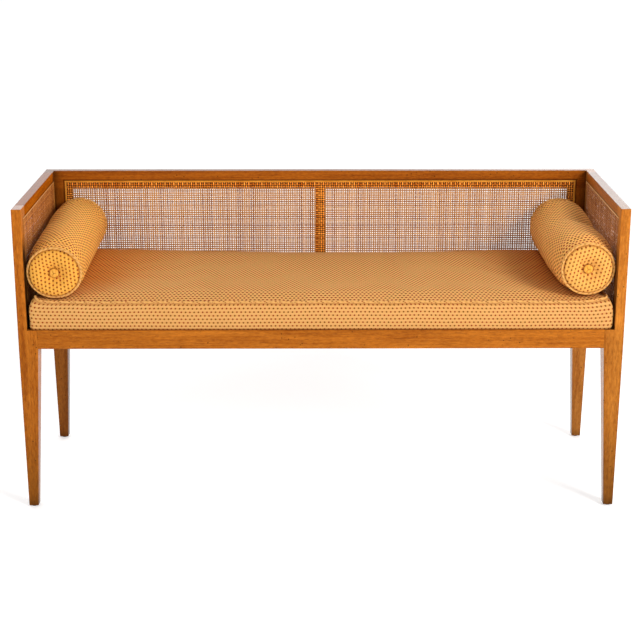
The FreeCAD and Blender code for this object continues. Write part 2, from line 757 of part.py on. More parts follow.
soft("seat_welt", welt_path.makePipeShell([welt_ring], True, False))

# Bolsters: round pads with a shoulder, a welt and a tufted end at both ends, lying on the slope of the seat
slope = (crown_z - shoulder_z) / (crown_y - shoulder_y)
lean = math.atan(slope)
radius = value("Sizes.bolster_radius")
bolster_front = -value(half_depth) + value("Sizes.bolster_front_inset")
bolster_back = value(rail_inner_depth) - value("Sizes.bolster_back_gap")
half_bolster = (bolster_back - bolster_front) / 2
end_radius = value("Sizes.bolster_end_radius")
end_height = value("Sizes.bolster_end_height")
ring = value("Sizes.bolster_welt_radius")
button = value("Sizes.button_radius")
tuft = half_bolster + value("Sizes.tuft_depth")
bore = value("Sizes.twine_radius + Sizes.hole_clearance")
seam_radius = end_radius + 2 * (ring + gap)
shoulder = half_bolster - value("Sizes.bolster_shoulder")


def arc(start, middle, end):
    return Part.Arc(start, middle, end).toShape()


def at(across, along):
    return FreeCAD.Vector(across, 0, along)


def turned(edges):
    """Turns a closed outline about the pad's own axis."""
    face = Part.Face(Part.Wire(edges))
    return face.revolve(FreeCAD.Vector(), FreeCAD.Vector(0, 0, 1), 360)


def bolster_pad():
    edges = [Part.makeLine(at(bore, -tuft), at(bore, tuft))]
    reach = half_bolster - shoulder
    drop = radius - seam_radius
    sweep = (reach ** 2 + drop ** 2) / (2 * drop)
    turn = math.asin(reach / sweep)
    crown_middle = (end_radius + button) / 2
    for way in (1, -1):
        seat = at(bore, way * tuft)
        rim = at(button + gap, way * tuft)
        crest = at(crown_middle, way * (half_bolster + end_height + value("Sizes.bolster_end_crown")))
        edge = at(end_radius, way * (half_bolster + end_height))
        riser = at(end_radius, way * half_bolster)
        seam = at(seam_radius, way * half_bolster)
        body = at(radius, way * shoulder)
        bulge = at(radius - sweep * (1 - math.cos(turn / 2)), way * (shoulder + sweep * math.sin(turn / 2)))
        side_edges = [
            Part.makeLine(seat, rim),
            arc(rim, crest, edge),
            Part.makeLine(edge, riser),
            Part.makeLine(riser, seam),
            arc(seam, bulge, body),
        ]
        edges += side_edges
    edges.append(Part.makeLine(at(radius, shoulder), at(radius, -shoulder)))
    return turned(Part.sortEdges(edges)[0])


def bolster_button():
    """A covered button with a domed top, standing on the plane z = 0."""
    rim = value("Sizes.button_rim")
    height = value("Sizes.button_height")
    shoulder_point = at(button, rim)
    flat = value("Sizes.button_flat")
    dome = at((button + flat) * 0.6, rim + (height - rim) * 0.75)
    peak = at(flat, height)
    edges = [
        Part.makeLine(at(0, 0), at(button, 0)),
        Part.makeLine(at(button, 0), shoulder_point),
        arc(shoulder_point, dome, peak),
        Part.makeLine(peak, at(0, height)),
        Part.makeLine(at(0, height), at(0, 0)),
    ]
    return turned(edges)


def both_ends(shape, along):
    """The shape at one end of the pad and turned over at the other."""
    copies = []
    for turn in (0, 180):
        copy = shape.copy()
        copy.translate(FreeCAD.Vector(0, 0, along))
        copy.rotate(FreeCAD.Vector(), FreeCAD.Vector(1, 0, 0), turn)
        copies.append(copy)
    return Part.makeCompound(copies)


middle_y = (bolster_front + bolster_back) / 2
middle_z = shoulder_z + slope * (middle_y - shoulder_y) + (radius + gap) / math.cos(lean)
pad_shape = bolster_pad()
welt_shape = Part.makeTorus(end_radius + ring + gap, ring)
button_foot = tuft + gap / 2
twine_shape = Part.makeCylinder(
    value("Sizes.twine_radius"), 2 * button_foot, FreeCAD.Vector(0, 0, -button_foot), FreeCAD.Vector(0, 0, 1)
)
for side in side_names:
    name = f"{side_names[side]}_bolster"
    middle_x = side * (value(arm_inner) - value("Sizes.bolster_gap") - radius)
    axis = FreeCAD.Vector(0, math.cos(lean), math.sin(lean))
    turn = FreeCAD.Rotation(FreeCAD.Vector(0, 0, 1), axis)
    place = FreeCAD.Placement(FreeCAD.Vector(middle_x, middle_y, middle_z), turn)
    soft(f"{name}_pad", pad_shape, place)
    soft(f"{name}_welts", both_ends(welt_shape, half_bolster + ring + gap), place)
    soft(f"{name}_buttons", both_ends(bolster_button(), button_foot), place)
    soft(f"{name}_twine", twine_shape, place)

doc.recompute()
failed = [item.Name for item in doc.Objects if "Invalid" in item.State or "Error" in item.State]
if failed:
    raise RuntimeError(f"failed objects: {failed}")
for label, item in parts.items():
    if item.Shape.isNull() or not item.Shape.isValid() or not item.Shape.Solids:
        raise RuntimeError(f"{label} has no valid solid")
os.makedirs("parts", exist_ok=True)
for label, item in parts.items():
    item.Shape.exportStep(f"parts/{label}.step")
print(f"{len(parts)} parts written")
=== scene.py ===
import json
import math

import bpy
import numpy as np
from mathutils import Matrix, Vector


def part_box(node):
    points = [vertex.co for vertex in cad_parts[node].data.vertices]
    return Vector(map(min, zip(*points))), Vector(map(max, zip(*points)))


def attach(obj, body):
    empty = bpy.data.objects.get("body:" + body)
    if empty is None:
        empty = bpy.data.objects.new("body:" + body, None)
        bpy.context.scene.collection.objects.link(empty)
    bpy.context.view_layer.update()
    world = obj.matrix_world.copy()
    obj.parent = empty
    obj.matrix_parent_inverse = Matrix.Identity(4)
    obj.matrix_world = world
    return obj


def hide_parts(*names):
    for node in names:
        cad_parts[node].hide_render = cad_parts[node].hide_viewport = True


# Caned window bench, in metres: X along the bench, front towards -Y, Z up.
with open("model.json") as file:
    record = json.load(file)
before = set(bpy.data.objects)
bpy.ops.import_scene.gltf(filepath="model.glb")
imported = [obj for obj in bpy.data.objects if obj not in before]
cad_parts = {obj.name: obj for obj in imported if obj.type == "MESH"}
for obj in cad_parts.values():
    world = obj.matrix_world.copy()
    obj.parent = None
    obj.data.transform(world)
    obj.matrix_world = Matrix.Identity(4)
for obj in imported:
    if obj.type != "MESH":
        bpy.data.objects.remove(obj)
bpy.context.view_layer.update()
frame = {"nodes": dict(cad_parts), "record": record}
nodes = frame["nodes"]
scene = bpy.context.scene
print("frame loaded:", len(nodes), "nodes")


# Meshes
def putMesh(name, points, faceSets, clothMaps=None, marks=None):
    # points is n x 3; a face set is m x 3 or m x 4 vertex numbers; a cloth map is m x corners x 2, in metres
    mesh = bpy.data.meshes.new(name)
    corners = np.concatenate([faces.ravel() for faces in faceSets]).astype(np.int32)
    sizes = np.concatenate([np.full(len(faces), faces.shape[1]) for faces in faceSets])
    starts = np.concatenate([[0], np.cumsum(sizes)[:-1]]).astype(np.int32)
    mesh.vertices.add(len(points))
    mesh.vertices.foreach_set("co", np.ascontiguousarray(points, np.float32).ravel())
    mesh.loops.add(len(corners))
    mesh.loops.foreach_set("vertex_index", corners)
    mesh.polygons.add(len(sizes))
    mesh.polygons.foreach_set("loop_start", starts)
    mesh.update(calc_edges=True)
    if clothMaps is not None:
        flat = np.concatenate([cloth.reshape(-1, 2) for cloth in clothMaps]).astype(np.float32)
        mesh.uv_layers.new(name="cloth").uv.foreach_set("vector", flat.ravel())
    for mark, values in (marks or {}).items():
        layer = mesh.attributes.new(mark, "FLOAT", "POINT")
        layer.data.foreach_set("value", np.ascontiguousarray(values, np.float32).ravel())
    mesh.polygons.foreach_set("use_smooth", np.ones(len(sizes), bool))
    return mesh


def outwards(points, faceSets):
    # true if the signed volume of a closed surface is positive
    volume = 0.0
    for faces in faceSets:
        first = points[faces[:, 0]]
        for second in range(1, faces.shape[1] - 1):
            cross = np.cross(points[faces[:, second]], points[faces[:, second + 1]])
            volume += np.einsum("ij,ij->", first, cross)
    return volume > 0


def closedPiece(name, points, faceSets, material, body, replaced=(), clothMaps=None, marks=None):
    # a surface that faces inwards is turned round
    if not outwards(points, faceSets):
        faceSets = [faces[:, ::-1] for faces in faceSets]
        if clothMaps is not None:
            clothMaps = [cloth[:, ::-1] for cloth in clothMaps]
    piece = bpy.data.objects.new(name, putMesh(name, points, faceSets, clothMaps, marks))
    scene.collection.objects.link(piece)
    piece.data.materials.append(material)
    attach(piece, body)
    if replaced:
        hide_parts(*replaced)
    return piece


def gridIds(points, start=0):
    # vertex numbers in the same table as the points
    return start + np.arange(points[..., 0].size).reshape(points.shape[:-1])


def closeRows(table):
    # every row ends where it began
    return np.concatenate([table, table[:, :1]], axis=1)


def cells(table):
    # the four corners of each cell between neighbouring entries of a two-way table
    return np.stack([table[:-1, :-1], table[1:, :-1], table[1:, 1:], table[:-1, 1:]], 2)


def gridQuads(ids):
    return cells(ids).reshape(-1, 4)


def gridCloth(table):
    return cells(table).reshape(-1, 4, 2)


def fan(ring, hub):
    # triangles from each step of a closed ring to its hub, for vertex numbers or cloth coordinates
    return np.stack([ring[:-1], ring[1:], np.broadcast_to(hub, ring[1:].shape)], 1)


def polarCloth(radius, angle):
    # cloth laid flat on a disc
    return np.stack([radius[:, None] * np.sin(angle), radius[:, None] * np.cos(angle)], -1)


def smoothRise(value, low, high):
    # 0 at low, 1 at high, with level ends
    t = np.clip((value - low) / (high - low), 0, 1)
    return t * t * (3 - 2 * t)


def hump(value, width):
    # 1 where value is 0, and a bell curve on both sides
    return np.exp(-((value / width) ** 2))


def unit(vectors):
    # the same directions with length 1
    return vectors / np.linalg.norm(vectors, axis=-1)[..., None]


def runLength(path):
    # how far along a closed path each point lies; the last entry is the whole length
    steps = np.linalg.norm(np.diff(path, axis=0, append=path[:1]), axis=1)
    return np.concatenate([[0], np.cumsum(steps)])


# Shader values as Python expressions
class Shade:
    # a value in a material: its node tree and the socket it comes from
    def __init__(self, tree, socket):
        self.tree = tree
        self.socket = socket

    def node(self, kind, settings=None, inputs=None, output=0):
        made = self.tree.nodes.new(kind)
        for name, setting in (settings or {}).items():
            setattr(made, name, setting)
        for name, value in (inputs or {}).items():
            if isinstance(value, Shade):
                self.tree.links.new(value.socket, made.inputs[name])
            else:
                made.inputs[name].default_value = value
        return Shade(self.tree, made.outputs[output])

    def maths(self, operation, *others):
        inputs = dict(enumerate((self, *others)))
        return self.node("ShaderNodeMath", {"operation": operation}, inputs)

    def vectorMaths(self, operation, other, output=0):
        return self.node("ShaderNodeVectorMath", {"operation": operation}, {0: self, 1: other}, output)

    def tinted(self, tint):
        return self.vectorMaths("MULTIPLY", tint)

    def scaled(self, amount):
        return self.node("ShaderNodeVectorMath", {"operation": "SCALE"}, {0: self, "Scale": amount})

    def rise(self, low, high):
        # 0 at low, 1 at high, with level ends
        inputs = {"Value": self, "From Min": low, "From Max": high}
        return self.node("ShaderNodeMapRange", {"interpolation_type": "SMOOTHSTEP"}, inputs)

    def wave(self, pitch):
        # a cosine between 0 and 1
        return (self * (2 * math.pi / pitch)).maths("COSINE") * 0.5 + 0.5

    def blend(self, first, second):
        # a colour that goes from first to second as this value goes from 0 to 1
        ends = [color if isinstance(color, Shade) else (*color, 1) for color in (first, second)]
        return self.node("ShaderNodeMix", {"data_type": "RGBA"}, {0: self, 6: ends[0], 7: ends[1]}, 2)

    def ramp(self, look):
        # a look's colours by their places along this value; the two outer places are given first
        made = self.node("ShaderNodeValToRGB", None, {0: self})
        elements = made.socket.node.color_ramp.elements
        places = look["tonePlaces"]
        elements.new(list(places.values())[2])
        for element, (color, place) in zip(elements, places.items()):
            element.position = place
            element.color = (*look[color], 1)
        return made

    def noise(self, scale, detail=2, roughness=0.5, distortion=0):
        inputs = {"Vector": self, "Scale": scale, "Detail": detail, "Roughness": roughness}
        return self.node("ShaderNodeTexNoise", None, {**inputs, "Distortion": distortion})

    def mark(self, name):
        # a number that the mesh carries at each point
        return self.node("ShaderNodeAttribute", {"attribute_name": name}, None, 2)

    def normals(self):
        return self.node("ShaderNodeTexCoord", None, None, "Normal").parts()

    def parts(self):
        return [self.node("ShaderNodeSeparateXYZ", None, {0: self}, number) for number in range(3)]

    def vector(self, x, y, z):
        return self.node("ShaderNodeCombineXYZ", None, {0: x, 1: y, 2: z})

    def __add__(self, other):
        return self.maths("ADD", other)

    def __sub__(self, other):
        return self.maths("SUBTRACT", other)

    def __rsub__(self, other):
        return self.node("ShaderNodeMath", {"operation": "SUBTRACT"}, {0: other, 1: self})

    def __mul__(self, other):
        return self.maths("MULTIPLY", other)

    def __truediv__(self, other):
        return self.maths("DIVIDE", other)

    __radd__ = __add__
    __rmul__ = __mul__


def startMaterial(name):
    material = bpy.data.materials.new(name)
    material.use_nodes = True
    tree = material.node_tree
    return material, Shade(tree, tree.nodes.new("ShaderNodeTexCoord").outputs["Object"])


def finishMaterial(material, color, roughness, height, depth, polish=None, **constants):
    # height is bumped by depth metres; constants go on the shader's own sockets
    tree = material.node_tree
    shader = tree.nodes["Principled BSDF"]
    bump = height.node("ShaderNodeBump", None, {"Height": height, "Distance": depth, "Strength": 1.0})
    links = {"Base Color": color, "Roughness": roughness, "Normal": bump}
    if polish is not None:
        links["Coat Weight"] = polish
    for name, value in links.items():
        tree.links.new(value.socket, shader.inputs[name])
    for name, value in constants.items():
        shader.inputs[name.replace("_", " ")].default_value = value
    return material


# Wood: broad figure, streaks, fibres, flecks and pores drawn out along the grain, with specks and eased edges.
# A grain layer is its stretch along the board, then the scale, detail, roughness and distortion of its noise.
# A pair is where a rise begins and ends.
woodLook = {
    "dark": (0.235, 0.052, 0.0030),
    "middle": (0.370, 0.092, 0.0058),
    "light": (0.510, 0.155, 0.0140),
    "tonePlaces": {"dark": 0.39, "light": 0.61, "middle": 0.50},
    "boardShift": (0.37, 0.61, 0.83),
    "grain": {
        "figure": (0.10, 30, 4, 0.55, 0.5),
        "streaks": (0.018, 210, 3, 0.6),
        "fibres": (0.03, 1100, 2, 0.6),
        "pores": (0.055, 1500, 1, 0.4),
        "flecks": (0.30, 300, 3, 0.6),
    },
    "toneShares": {"figure": 0.36, "streaks": 0.24, "fibres": 0.10, "flecks": 0.30},
    "poreEdge": (0.60, 0.70),
    "poreShade": 0.375,
    "speckScale": 85,
    "speckEdge": (0.17, 0.08),
    "speckPatches": (0.45, 0.58),
    "speckShade": 0.8,
    "rubbedReach": (0.0045, 0.0008),
    "rubbedPatches": (0.35, 0.65),
    "edgeTone": -0.10,
    # board tints; those of the back left leg and the arm lower rails are painted shade, those of the back right and
    # front right legs a painted haze of reflected light
    "boardTintsAndPaintedShade": {
        "back_crest_rail": (0.86, 0.76, 0.55),
        "back_left_leg": (0.60, 0.60, 0.95),
        "back_right_leg": (0.98, 1.18, 2.40),
        "front_right_leg": (0.98, 1.12, 1.60),
        "left_arm_top_rail": (0.93, 0.80, 0.40),
        "arm_lower_rail": (0.80, 0.80, 0.80),
        "stile": (0.80, 0.76, 0.70),
    },
    "footRise": (0.27, 0.0),
    "footShade": {"front": 0.55, "back": 0.25},
    "tipRise": (0.030, 0.003),
    "tipShade": 0.42,
    "postRise": (0.39, 0.46),
    # painted light: the posts are paler above the seat rail, the right one more
    "paintedPostLight": {"left": 0.14, "right": 0.29},
    # painted shade on the posts' inner faces behind the bolsters
    "paintedShadeBehindBolsters": {"left": (0.95, 0.655, 0.605), "right": (0.60, 0.66, 0.52)},
    "seatRise": (0.40, 0.43),
    # painted shade on the ledge under the cane
    "paintedLedgeShade": 0.93,
    "bedReach": (0.0009, 0.0004),
    # a painted shadow line round the spline, and painted shade in the upright corners
    "paintedShadowLine": 0.62,
    "shadowLineReach": (0.0050, 0.0012),
    "shadowLineStart": (-0.0012, 0.0),
    "paintedCornerShade": 0.55,
    "cornerReach": (0.030, 0.0),
    # painted shade on up-facing faces, deepest on the right arm, and a coat weight for each
    "topPaintedShadeAndPolish": {"back": (0.50, 0.20), "left": (0.35, 0.54), "right": (0.70, 0.19)},
    "otherTop": (0, 0.20),
    "squarely": (0.7, 0.95),
    "sidePolish": {"left": 0.25, "right": 0.55},
    "sidePolishRise": (0.40, 0.38),
    "gloss": {"Specular_IOR_Level": 0.35, "Specular_Tint": (1, 0.45, 0.12, 1), "Coat_Roughness": 0.16},
    "mattBoards": ("left_arm_top_rail",),
    "mattLevel": 0.0,
    "roughness": 0.34,
    "relief": 0.00025,
}
bareLook = dict(
    woodLook,
    dark=(0.36, 0.22, 0.10),
    middle=(0.47, 0.31, 0.155),
    light=(0.56, 0.39, 0.21),
    paintedLedgeShade=0,
    topPaintedShadeAndPolish={},
    boardTintsAndPaintedShade={},
    edgeTone=0.05,
    roughness=0.56,
)
legSize = {
    "footInset": 0.003,
    "footWidth": 0.022,
    "taperTop": 0.387,
    "foot": 0.003,
    "postWidth": 0.022,
    "blockTop": 0.431,
}
weaveSize = {
    "pitch": 0.0055,
    "strandWidth": 0.00317,
    "strandThickness": 0.00070,
    "section": ((-0.5, 1), (-0.32, -1), (0.32, -1), (0.5, 1)),
    "widths": (0.86, 1.14),
    "swing": 0.00040,
    "level": 0.2,
    "proud": 0.00015,
    "sheetThickness": 0.0012,
    "lipDepth": 0.0030,
    "lipRun": 0.0004,
    "margin": 0.003,
    "wander": 0.00018,
    "waves": (18, 40),
    "toneSpread": 0.26,
    "toneWave": 0.06,
}


def sideOf(node):
    return "left" if "left" in node else "right"


def edgeDistance(place, low, high, across):
    # on a box one of the two distances to the faces is 0, so their sum is the distance to the edge
    spots = place.parts()
    return sum((spots[axis] - low[axis]).maths("MINIMUM", high[axis] - spots[axis]) for axis in across)


def legEdgeDistance(place, low, high):
    # the inner faces of a leg lean in below the seat rail, and step back above it
    size = legSize
    x, y, z = place.parts()
    taper = ((z - size["foot"]) * (1 / (size["taperTop"] - size["foot"]))).maths("MINIMUM", 1.0)
    wide = high[0] - low[0]
    ways = [1 if low[axis] > 0 else -1 for axis in (0, 1)]
    outer = [high[axis] if low[axis] > 0 else -low[axis] for axis in (0, 1)]
    depth = size["footWidth"] + taper * (wide - size["footWidth"])
    width = depth + z.maths("GREATER_THAN", size["blockTop"]) * (size["postWidth"] - wide)
    fromX = outer[0] - (1 - taper) * size["footInset"] - x * ways[0]
    fromY = outer[1] - y * ways[1]
    near = [away.maths("MINIMUM", reach - away) for away, reach in ((fromX, width), (fromY, depth))]
    return near[0].maths("MAXIMUM", 0.0) + near[1].maths("MAXIMUM", 0.0)


def panelOf(node):
    # the cane panel that a board frames, the axis across it, and the way into its groove
    if node.endswith("_leg") or "_arm_" in node:
        return f"{sideOf(node)}_arm_cane", 0, -1 if sideOf(node) == "left" else 1
    return "back_cane", 1, 1


def caneBed(place, node, look):
    # 1 on the ledge that the cane lies on, which is painted dark as the shade between the strands
    panel, axis, inwards = panelOf(node)
    low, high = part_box(panel)
    plane = (low[axis] if inwards > 0 else high[axis]) + inwards * weaveSize["sheetThickness"]
    return (place.parts()[axis] - plane).maths("ABSOLUTE").rise(*look["bedReach"])


def paintedCornerShadows(place, node, facing, look):
    # painted shadow in a line round the spline, and painted shade in the upright corners between the back and the arms
    panel, axis, inwards = panelOf(node)
    low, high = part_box(f"{panel}_spline")
    spots = place.parts()
    beyond = []
    for way in (1 - axis, 2):
        fromMiddle = (spots[way] - (low[way] + high[way]) / 2).maths("ABSOLUTE")
        beyond.append(fromMiddle - (high[way] - low[way]) / 2)
    outside = beyond[0].maths("MAXIMUM", beyond[1])
    line = outside.rise(*look["shadowLineReach"]) * outside.rise(*look["shadowLineStart"])
    if axis == 1:
        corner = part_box("right_arm_cane")[0][0] - spots[0].maths("ABSOLUTE")
    else:
        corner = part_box("back_cane")[0][1] - spots[1]
    corner = corner.rise(*look["cornerReach"])
    shade = (1 - line * facing * look["paintedShadowLine"]) * (1 - corner * corner * facing * look["paintedCornerShade"])
    if axis == 0:
        # painted shade behind the bolsters, above the seat
        dark, upper, lower = look["paintedShadeBehindBolsters"][sideOf(node)]
        behind = spots[2].rise(upper, lower) * spots[2].rise(*look["seatRise"]) * facing
        shade = shade * (1 - behind * dark)
    return shade


def legToneAndPaintedLight(node, height, look):
    # a leg darkens towards its foot, most at the tip, and above the seat rail it has painted light, more on the right
    # post
    foot = height.rise(*look["footRise"]) * look["footShade"]["back" if "back" in node else "front"]
    foot = foot - height.rise(*look["postRise"]) * look["paintedPostLight"][sideOf(node)]
    return (1 - foot) * (1 - height.rise(*look["tipRise"]) * look["tipShade"])


def woodMaterial(name, node, number, look):
    # the grain picks a colour; pores, specks and worn edges shade it; painted shade and painted light fall on ledges,
    # corners, posts and tops, and tops and leg sides get a coat
    material, place = startMaterial(name)
    low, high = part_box(node)
    grain = max(range(3), key=lambda axis: high[axis] - low[axis])
    across = [axis for axis in range(3) if axis != grain]
    isLeg = node.endswith("_leg")
    shifted = place.vectorMaths("ADD", [step * number for step in look["boardShift"]])
    spots = shifted.parts()
    layers = {}
    for layer, (stretch, *settings) in look["grain"].items():
        drawn = place.vector(spots[across[0]], spots[across[1]], spots[grain] * stretch)
        layers[layer] = drawn.noise(*settings)
    pores = layers["pores"].rise(*look["poreEdge"])
    bites = shifted.node("ShaderNodeTexVoronoi", None, {"Vector": shifted, "Scale": look["speckScale"]})
    specks = bites.rise(*look["speckEdge"]) * shifted.noise(19, 1).rise(*look["speckPatches"])
    tone = sum(layers[layer] * share for layer, share in look["toneShares"].items())
    color = tone.ramp(look)
    board = next((tint for part, tint in look["boardTintsAndPaintedShade"].items() if part in node), None)
    if board:
        color = color.tinted(board)
    edge = legEdgeDistance(place, low, high) if isLeg else edgeDistance(place, low, high, across)
    rubbed = edge.rise(*look["rubbedReach"]) * shifted.noise(60, 2).rise(*look["rubbedPatches"])
    shade = (1 - pores * look["poreShade"]) * (1 - specks * look["speckShade"]) * (1 + rubbed * look["edgeTone"])
    height = place.parts()[2]
    normals = place.normals()
    if isLeg:
        shade = shade * legToneAndPaintedLight(node, height, look)
    if look["paintedLedgeShade"]:
        panel, axis, inwards = panelOf(node)
        facing = (normals[axis] * -inwards).rise(0.4, 0.6)  # towards the open side of the panel
        shade = shade * (1 - caneBed(place, node, look) * facing * look["paintedLedgeShade"])
        shade = shade * paintedCornerShadows(place, node, facing, look)
    polish = None
    if look["topPaintedShadeAndPolish"]:
        # painted shade darkens what faces up and a coat polishes it; the sides of the legs are polished too
        upwards = normals[2].rise(*look["squarely"])
        dark, coat = next((top for part, top in look["topPaintedShadeAndPolish"].items() if part in node), look["otherTop"])
        shade = shade * (1 - upwards * dark)
        polish = upwards * coat
        if isLeg:
            sideways = normals[0].maths("ABSOLUTE").rise(*look["squarely"])
            polish = polish + sideways * height.rise(*look["sidePolishRise"]) * look["sidePolish"][sideOf(node)]
    roughness = look["roughness"] + layers["streaks"] * 0.14 + pores * 0.10 - rubbed * 0.08
    relief = layers["fibres"] * 0.25 - pores * 0.6 - specks * 0.5
    gloss = dict(look["gloss"])
    if node in look["mattBoards"]:
        gloss["Specular_IOR_Level"] = look["mattLevel"]
    return finishMaterial(material, color.scaled(shade), roughness, relief, look["relief"], polish, **gloss)


# Fabric: ribbed golden cloth with small dots in staggered rows, on cloth coordinates in metres
fabricLook = {
    "ground": (0.675, 0.316, 0.073),
    "pale": (0.785, 0.425, 0.150),
    "redDot": (0.27, 0.014, 0.002),
    "brownDot": (0.18, 0.040, 0.001),
    "dotDepth": 0.97,
    "dotAcross": 0.0094,
    "rowPitch": 0.0082,
    "dotRadius": 0.00195,
    "dotBlur": 0.00035,
    "dotWobble": 0.0006,
    "boldness": 0.22,
    # bold cloth is paler, painted light on the bolster bodies; the crease and kept tints are painted shade
    "boldTint": (1.06, 1.055, 1.00),
    "creaseTint": (0.42, 0.29, 0.15),
    "keptTint": (0.95, 0.66, 0.32),
    "drift": 0.0030,
    "ribPitch": 0.00106,
    "threadPitch": 0.00078,
    "relief": 0.0003,
}


def fabricMaterial(name, look):
    # a dot sits in the middle of each cell of a grid whose odd rows are shifted by half a cell
    material, place = startMaterial(name)
    u, v = place.node("ShaderNodeUVMap", {"uv_map": "cloth"}).parts()[:2]
    v = v + (place.noise(8, 1) - 0.5) * look["drift"]  # the rows wander a little
    row = v / look["rowPitch"]
    rowNumber = row.maths("FLOOR")
    column = u / look["dotAcross"] + rowNumber.maths("FLOORED_MODULO", 2.0) * 0.5
    sideways = (column.maths("FRACT") - 0.5) * look["dotAcross"]
    upwards = (row.maths("FRACT") - 0.5) * look["rowPitch"]
    apart = (sideways * sideways + upwards * upwards).maths("SQRT")
    apart = apart + place.noise(900, 1) * look["dotWobble"] - look["dotWobble"] / 2
    apart = apart / (1 + place.mark("bold") * look["boldness"])  # stretched cloth has larger dots
    dots = apart.rise(look["dotRadius"] + look["dotBlur"], look["dotRadius"] - look["dotBlur"])
    cell = place.vector(column.maths("FLOOR"), rowNumber, 0.0)
    pick = cell.node("ShaderNodeTexWhiteNoise", {"noise_dimensions": "2D"}, {"Vector": cell})
    dotColor = pick.rise(0.35, 0.75).blend(look["redDot"], look["brownDot"])
    ribs, threads, between = v.wave(look["ribPitch"]), u.wave(look["threadPitch"]), row.wave(1)
    slub = place.noise(320, 3, 0.6)
    paleness = between * 0.35 + ribs * 0.25 + slub * 0.35 + place.noise(9, 2) * 0.15
    ground = paleness.rise(0.15, 0.95).blend(look["ground"], look["pale"])
    color = (dots * look["dotDepth"]).blend(ground, dotColor).scaled(0.90 + ribs * 0.07 + threads * 0.05)
    # painted shade: creases, seams and folds are deeper in colour, and so is the seat beside the bolsters; cloth marked
    # bold is paler, which on the bolster bodies is painted light
    for mark in ("crease", "kept", "bold"):
        color = color.tinted(place.mark(mark).blend((1, 1, 1), look[f"{mark}Tint"]))
    height = ribs * 0.45 + threads * 0.25 + dots * 0.5 + slub * 0.3
    return finishMaterial(material, color, 0.74 + slub * 0.14, height, look["relief"], Specular_IOR_Level=0.15)


# Cane and reed: split skins, with a tone for each strand and small dark flecks.
# Painted cane shade is its depth, the heights where it begins and is full, and the way its faces look along X.
caneLook = {
    "dark": (0.30, 0.070, 0.007),
    "middle": (0.60, 0.190, 0.020),
    "light": (0.82, 0.340, 0.060),
    "tonePlaces": {"dark": 0.15, "light": 0.92, "middle": 0.52},
    "gloss": {"Specular_IOR_Level": 0.25, "Specular_Tint": (1, 0.5, 0.15, 1)},
    "roughness": 0.45,
    "relief": 0.0001,
    "fleckShade": 0.3,
    "paintedBayTint": (0.87, 1.06, 2.10),
    "paintedLedgeLight": (2.08, 1.86, 1.58),
    "paintedGapShade": 0.92,
    "paintedCaneShade": None,
    "paintedGlint": None,
    "paintedGlintStrength": 0.85,
}
# the arm canes are darker copies of the cane as painted shade; the right one is bluer, a painted haze
leftShadedCaneLook = dict(
    caneLook,
    dark=(0.23, 0.055, 0.010),
    middle=(0.43, 0.127, 0.021),
    light=(0.62, 0.240, 0.058),
    gloss={"Specular_IOR_Level": 0.10, "Specular_Tint": (1, 0.5, 0.15, 1)},
    paintedCaneShade=(0.72, 0.655, 0.585, 1),
    paintedBayTint=None,
)
rightShadedCaneLook = dict(
    leftShadedCaneLook,
    dark=(0.23, 0.066, 0.020),
    middle=(0.42, 0.148, 0.042),
    light=(0.62, 0.275, 0.105),
    paintedCaneShade=(0.55, 0.645, 0.535, -1),
    paintedGlint=(0.74, 0.54, 0.40),
)


def openBay(place):
    # 1 over the two openings of the back, 0 over its ledges and centre stile
    x, y, z = place.parts()
    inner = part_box("back_right_stile")[0][0]
    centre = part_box("back_centre_stile")[1][0]
    bottom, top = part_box("back_lower_rail")[1][2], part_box("back_crest_rail")[0][2]
    beside = x.maths("ABSOLUTE")
    beside = (inner - beside).maths("MINIMUM", beside - centre)
    height = (z - bottom).maths("MINIMUM", top - z)
    return beside.maths("MINIMUM", height).rise(-0.001, 0.001)


def caneMaterial(name, look):
    # the strand's own tone and a mottle pick the colour
    material, place = startMaterial(name)
    x, y, z = place.parts()
    mottle = place.noise(75, 3, 0.6)
    flecks = place.noise(800, 2).rise(0.60, 0.72)
    tone = place.mark("tone") * 0.65 + mottle * 0.45
    color = tone.ramp(look)
    shade = 1 - flecks * look["fleckShade"]
    if look["paintedCaneShade"]:
        # painted shade behind the bolsters, lower down, on the faces towards the seat
        dark, upper, lower, inwards = look["paintedCaneShade"]
        inner = (place.normals()[0] * inwards).rise(-0.2, 0.3)
        shade = shade * (1 - z.rise(upper, lower) * inner * dark)
    if look["paintedBayTint"]:
        # painted shade deep between the strands over the ledges; painted light makes the strands over the ledges
        # brighter and those over the openings greyer and bluer
        bay = openBay(place)
        shade = shade * (1 - place.mark("flank").rise(0.0, 0.45) * (1 - bay) * look["paintedGapShade"])
        color = color.tinted(bay.blend(look["paintedLedgeLight"], look["paintedBayTint"]))
    color = color.scaled(shade)
    if look["paintedGlint"]:
        # painted glints: pale spots that stand in for shine
        shine = place.vector(x, y * 0.25, z).noise(300, 1).rise(0.58, 0.66) * place.noise(24, 2).rise(0.42, 0.56)
        color = (shine * look["paintedGlintStrength"]).blend(color, look["paintedGlint"])
    roughness = look["roughness"] + mottle * 0.12
    return finishMaterial(material, color, roughness, mottle * 0.4 - flecks * 0.4, look["relief"], **look["gloss"])


reedLook = {
    "middle": (0.52, 0.165, 0.012),
    "body": (0.80, 0.300, 0.032),
    "light": (0.92, 0.42, 0.060),
    "tonePlaces": {"middle": 0.28, "light": 0.74, "body": 0.50},
    "fleckShade": 0.25,
    "roughness": 0.36,
    "relief": 0.00015,
    "paintedTopHighlight": None,
    "topWidth": 0.007,
}
# the arm splines are darker; their top strips carry a painted highlight, brighter on the right
leftReedLook = dict(
    reedLook,
    middle=(0.36, 0.115, 0.012),
    body=(0.50, 0.180, 0.028),
    light=(0.64, 0.28, 0.060),
    paintedTopHighlight=(1.2, 1.4, 2.2),
)
rightReedLook = dict(leftReedLook, paintedTopHighlight=(1.6, 2.4, 5.5))


